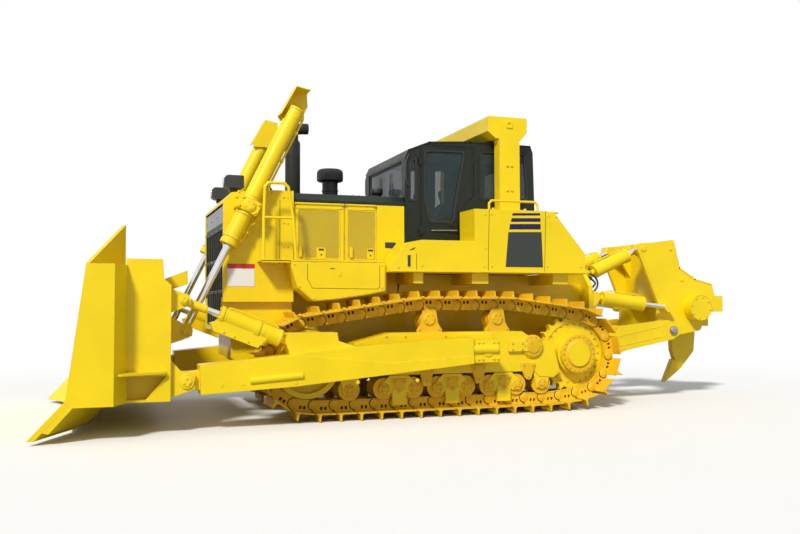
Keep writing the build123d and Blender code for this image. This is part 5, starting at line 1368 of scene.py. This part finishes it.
beam = Soup()
for x, z, radius in (
    (-3.940, 1.470, 0.060), (-3.610, 2.420, 0.050), (-4.120, 2.420, 0.030), (-4.340, 1.920, 0.030),
):
    beam.turned((x, cheek_face, z), OUT, ((radius, -0.004), (radius, 0.012), (radius * 0.8, 0.016)), 26)
for k in range(8):
    turn = 2 * pi * k / 8 + 0.2
    beam.bolt((-4.560 + 0.172 * cos(turn), bearing_face, 1.460 + 0.172 * sin(turn)), OUT, 0.013)
frame_of(beam, circle(-4.560, 1.460, 0.207, 40), 0.012, *on(bearing_face, 0.004))
ribbon(beam, ((-3.560, 2.380), (-3.900, 1.480), (-3.860, 1.110)), 0.022, *on(cheek_face, 0.006))
ribbon(beam, ((-4.180, 2.540), (-4.290, 2.110), (-4.590, 1.925), (-4.915, 1.845)), 0.022, *on(cheek_face, 0.006))
both_sides("ripper_beam_fittings", yellow, "ripper_beam", beam)
block = Soup()
for z in (1.240, 1.760):
    block.turned((-4.720, 0.231, z), OUT, ((0.050, -0.004), (0.050, 0.020), (0.042, 0.026)), 26)
    block.plate(rounded(rect(-4.800, z + 0.012, -4.640, z - 0.012), 0.004), 0.249, 0.261)
both_sides("shank_pins", steel, "ripper_beam", block)
arms = Soup()
arms.turned((-3.980, 0.826, 1.100), OUT, ((0.058, -0.004), (0.058, 0.006), (0.050, 0.010), (0.02, 0.011)), 26)
for k in range(3):
    turn = 2 * pi * k / 3
    arms.bolt((-3.980 + 0.034 * cos(turn), 0.832, 1.100 + 0.034 * sin(turn)), OUT, 0.010)
both_sides("ripper_pin_caps", steel, "ripper_pins", arms)
arms = Soup()
ribbon(arms, ((-2.780, 0.980), (-3.820, 1.180)), 0.012, *on(arm_face, 0.004))
ribbon(arms, ((-2.760, 0.830), (-3.820, 1.010)), 0.012, *on(arm_face, 0.004))
arms.turned((-2.600, 0.7995, 0.900), OUT, ((0.080, 0), (0.080, 0.010), (0.066, 0.016), (0.02, 0.017)), 30)
both_sides("ripper_arm_fittings", yellow, "ripper_arm", arms)

# ---------------------------------------------------------------- tractor's rear

rear = Soup()
for y in (0.35, 0.60, 0.82):
    for z in (0.80, 1.30, 2.02):
        rear.bolt((-2.4705, y, z), BACK, 0.018)
rear.plate(rect(0.02, 1.62, 0.44, 1.92), -2.478, -2.469, head_on)
for y in (0.05, 0.41):
    for z in (1.65, 1.89):
        rear.bolt((-2.478, y, z), BACK, 0.012)
both_sides("rear_plate_and_bolts", yellow, "tractor", rear)
tank = Soup()
for y in (1.060, 1.415):
    tank.plate(rounded(rect(y - 0.03, 2.02, y + 0.03, 2.08), 0.006), -2.0445, -2.038, head_on)
tank.turned((-1.600, 1.240, 2.850), UP,
            ((0.070, -0.003), (0.070, 0.012), (0.060, 0.020), (0.036, 0.022), (0.034, 0.030), (0.02, 0.032)), 30)
both_sides("tank_caps", yellow, "tractor", tank)

# ---------------------------------------------------------------- operator's seat and controls


VOXEL, PRESSURE, FILL = 0.007, 4.0, 0.7                  # of a cushion's remesh, of its cloth, and of its padding
SEAMS, SEAM_REACH, SEAM_DEPTH = (-0.42, 0.42), 0.018, 0.007   # as shares of the half width, and in metres


def puffed(name, outline, low, high, body, cap=0.022):
    """A cushion from a closed outline: remeshed, blown up as cloth, capped, applied and smoothed."""
    soup = Soup()
    soup.plate(outline, low, high)
    made = soup.piece(name, cloth, body)
    remesh = made.modifiers.new("remesh", "REMESH")
    remesh.mode, remesh.voxel_size = "VOXEL", VOXEL
    graph = bpy.context.evaluated_depsgraph_get()
    mesh = bpy.data.meshes.new_from_object(made.evaluated_get(graph))
    made.modifiers.clear()
    made.data = mesh
    start = [v.co.copy() for v in mesh.vertices]
    swell = made.modifiers.new("swell", "CLOTH")
    swell.settings.use_pressure = True
    swell.settings.uniform_pressure_force = PRESSURE
    swell.settings.effector_weights.gravity = 0
    swell.settings.quality = 4
    swell.point_cache.frame_start, swell.point_cache.frame_end = 1, 20
    for number in range(1, 21):
        scene.frame_set(number)
    graph = bpy.context.evaluated_depsgraph_get()
    blown = made.evaluated_get(graph).to_mesh()
    moved = [v.co.copy() for v in blown.vertices]
    made.evaluated_get(graph).to_mesh_clear()
    made.modifiers.clear()
    for vert, first, last in zip(mesh.vertices, start, moved):
        move = last - first
        vert.co = first + move * min(1.0, cap / max(move.length, 1e-9))
    scene.frame_set(1)
    # sewn channels across the cushion's middle, and a soft crown
    mid = Vector([(min(p[k] for p in start) + max(p[k] for p in start)) / 2 for k in range(3)])
    half_y = max(p.y for p in start) - mid.y
    for vert in mesh.vertices:
        for seam in SEAMS:
            away = abs((vert.co.y - mid.y) / half_y - seam) * half_y
            if away < SEAM_REACH:
                inward = mid - vert.co
                inward.y = 0
                vert.co += inward.normalized() * SEAM_DEPTH * (1 - away / SEAM_REACH) ** 2
    smooth = made.modifiers.new("smooth", "SUBSURF")
    smooth.levels = smooth.render_levels = 1
    graph = bpy.context.evaluated_depsgraph_get()
    mesh = bpy.data.meshes.new_from_object(made.evaluated_get(graph))
    made.modifiers.clear()
    made.data = mesh
    mesh.shade_smooth()
    mesh.materials.clear()
    mesh.materials.append(cloth)


floor_z = 2.380
seat = Soup()
seat.plate(rounded(((-0.600, floor_z), (-0.240, floor_z), (-0.260, floor_z + 0.060), (-0.300, floor_z + 0.300),
                       (-0.560, floor_z + 0.300), (-0.590, floor_z + 0.060)), 0.02), -0.160, 0.160)
seat.plate(rounded(((-0.670, floor_z + 0.300), (-0.160, floor_z + 0.300), (-0.155, floor_z + 0.335),
                       (-0.670, floor_z + 0.335)), 0.012), -0.240, 0.240)
seat.plate(rounded(((-0.680, floor_z + 0.400), (-0.655, floor_z + 0.400), (-0.745, floor_z + 1.050),
                       (-0.757, floor_z + 1.050)), 0.008), -0.200, 0.200)
seat.piece("seat_frame", black, "tractor", replaces=("operator_seat",))
puffed("seat_cushion", rounded(((-0.640, floor_z + 0.352), (-0.185, floor_z + 0.352), (-0.170, floor_z + 0.440),
                                (-0.640, floor_z + 0.430)), 0.030), -0.235, 0.235, "tractor")
puffed("seat_back_cushion", rounded(((-0.640, floor_z + 0.470), (-0.570, floor_z + 0.470),
                                     (-0.650, floor_z + 1.080), (-0.715, floor_z + 1.080)), 0.025),
       -0.215, 0.215, "tractor", cap=0.018)

console = Soup()
for row in (-1, 1):
    low, high = between(row, 0.335, 0.545)
    console.plate(rounded(((-0.690, 2.9805), (-0.120, 2.9805), (-0.110, 3.010), (-0.140, 3.030),
                           (-0.680, 3.030)), 0.012), low, high)
    console.turned((-0.120, row * 0.435, 3.160), (-0.2, 0, 1), (
        (0.012, -0.02), (0.020, 0.0), (0.026, 0.010), (0.026, 0.045), (0.018, 0.062), (0.006, 0.066)), 20)
    for k, x in enumerate((-0.22, -0.27, -0.32)):
        console.turned((x, row * 0.49, 3.030), UP, ((0.010, 0), (0.010, 0.020), (0.006, 0.024)), 12)
console.plate(rounded(((0.310, 2.860), (0.405, 2.985), (0.395, 2.995), (0.300, 2.872)), 0.004), -0.30, 0.30)
for y in (-0.20, -0.07, 0.07, 0.20):
    console.turned((0.352, y, 2.935), (-0.79, 0, 0.61), ((0.046, 0), (0.046, 0.010), (0.040, 0.012)), 24)
console.piece("console_pads_and_levers", rubber, "tractor")

# ---------------------------------------------------------------- floor, background and sun


def to_eye(tree):
    """1 for rays that the camera follows, also off or through a surface, and 0 for the rest."""
    path = put(tree, "ShaderNodeLightPath").outputs
    return calc(tree, "MAXIMUM", path["Is Camera Ray"],
                calc(tree, "MAXIMUM", path["Is Glossy Ray"], path["Is Transmission Ray"]))


def blend_shader(tree, share, first, second, output):
    """A mix of two shaders, linked to the output."""
    mixed = put(tree, "ShaderNodeMixShader", inputs={0: share, 1: first.outputs[0], 2: second.outputs[0]})
    tree.links.new(mixed.outputs[0], output.inputs["Surface"])


floor_mesh = bpy.data.meshes.new("floor")
work = bmesh.new()
bmesh.ops.create_grid(work, x_segments=1, y_segments=1, size=60)
work.to_mesh(floor_mesh)
work.free()
floor = bpy.data.objects.new("floor", floor_mesh)
scene.collection.objects.link(floor)
floor.location = (0, 0, cad_low.z - 0.002)
floor_paint, tree, shader = new_material("floor")
# paler to the camera than to the light that it throws back under the machine
to_camera = put(tree, "ShaderNodeLightPath").outputs["Is Camera Ray"]
tree.links.new(blend_colour(tree, to_camera, (0.42, 0.42, 0.42), (0.92, 0.92, 0.92)), shader.inputs["Base Color"])
shader.inputs["Roughness"].default_value = 0.9
shader.inputs["Specular IOR Level"].default_value = 0.1
place = put(tree, "ShaderNodeTexCoord").outputs["Object"]
reach = put(tree, "ShaderNodeVectorMath", operation="LENGTH", inputs={0: place}).outputs["Value"]
far = ramp(tree, reach, 8.0, 13.0)
glow = put(tree, "ShaderNodeEmission", inputs={"Color": (1, 1, 1, 1), "Strength": 1.0})
blend_shader(tree, calc(tree, "MULTIPLY", far, to_eye(tree)), shader, glow, tree.get_output_node("ALL"))
floor_mesh.materials.append(floor_paint)

world = bpy.data.worlds.new("world")
scene.world = world
world.use_nodes = True
tree = world.node_tree
tree.nodes.clear()
sky = put(tree, "ShaderNodeBackground", inputs={"Color": (0.93, 0.96, 1.0, 1), "Strength": 0.42})
white = put(tree, "ShaderNodeBackground", inputs={"Color": (1, 1, 1, 1), "Strength": 1.0})
blend_shader(tree, to_eye(tree), sky, white, put(tree, "ShaderNodeOutputWorld"))

sun_lamp = bpy.data.lights.new("key", "SUN")
sun_lamp.energy = 3.2
sun_lamp.angle = radians(8)
sun_lamp.color = (1.0, 0.97, 0.92)
sun = bpy.data.objects.new("key", sun_lamp)
scene.collection.objects.link(sun)
sun.rotation_mode = "QUATERNION"
sun.rotation_quaternion = Vector((0.75, 1.0, 1.05)).to_track_quat("Z", "Y")
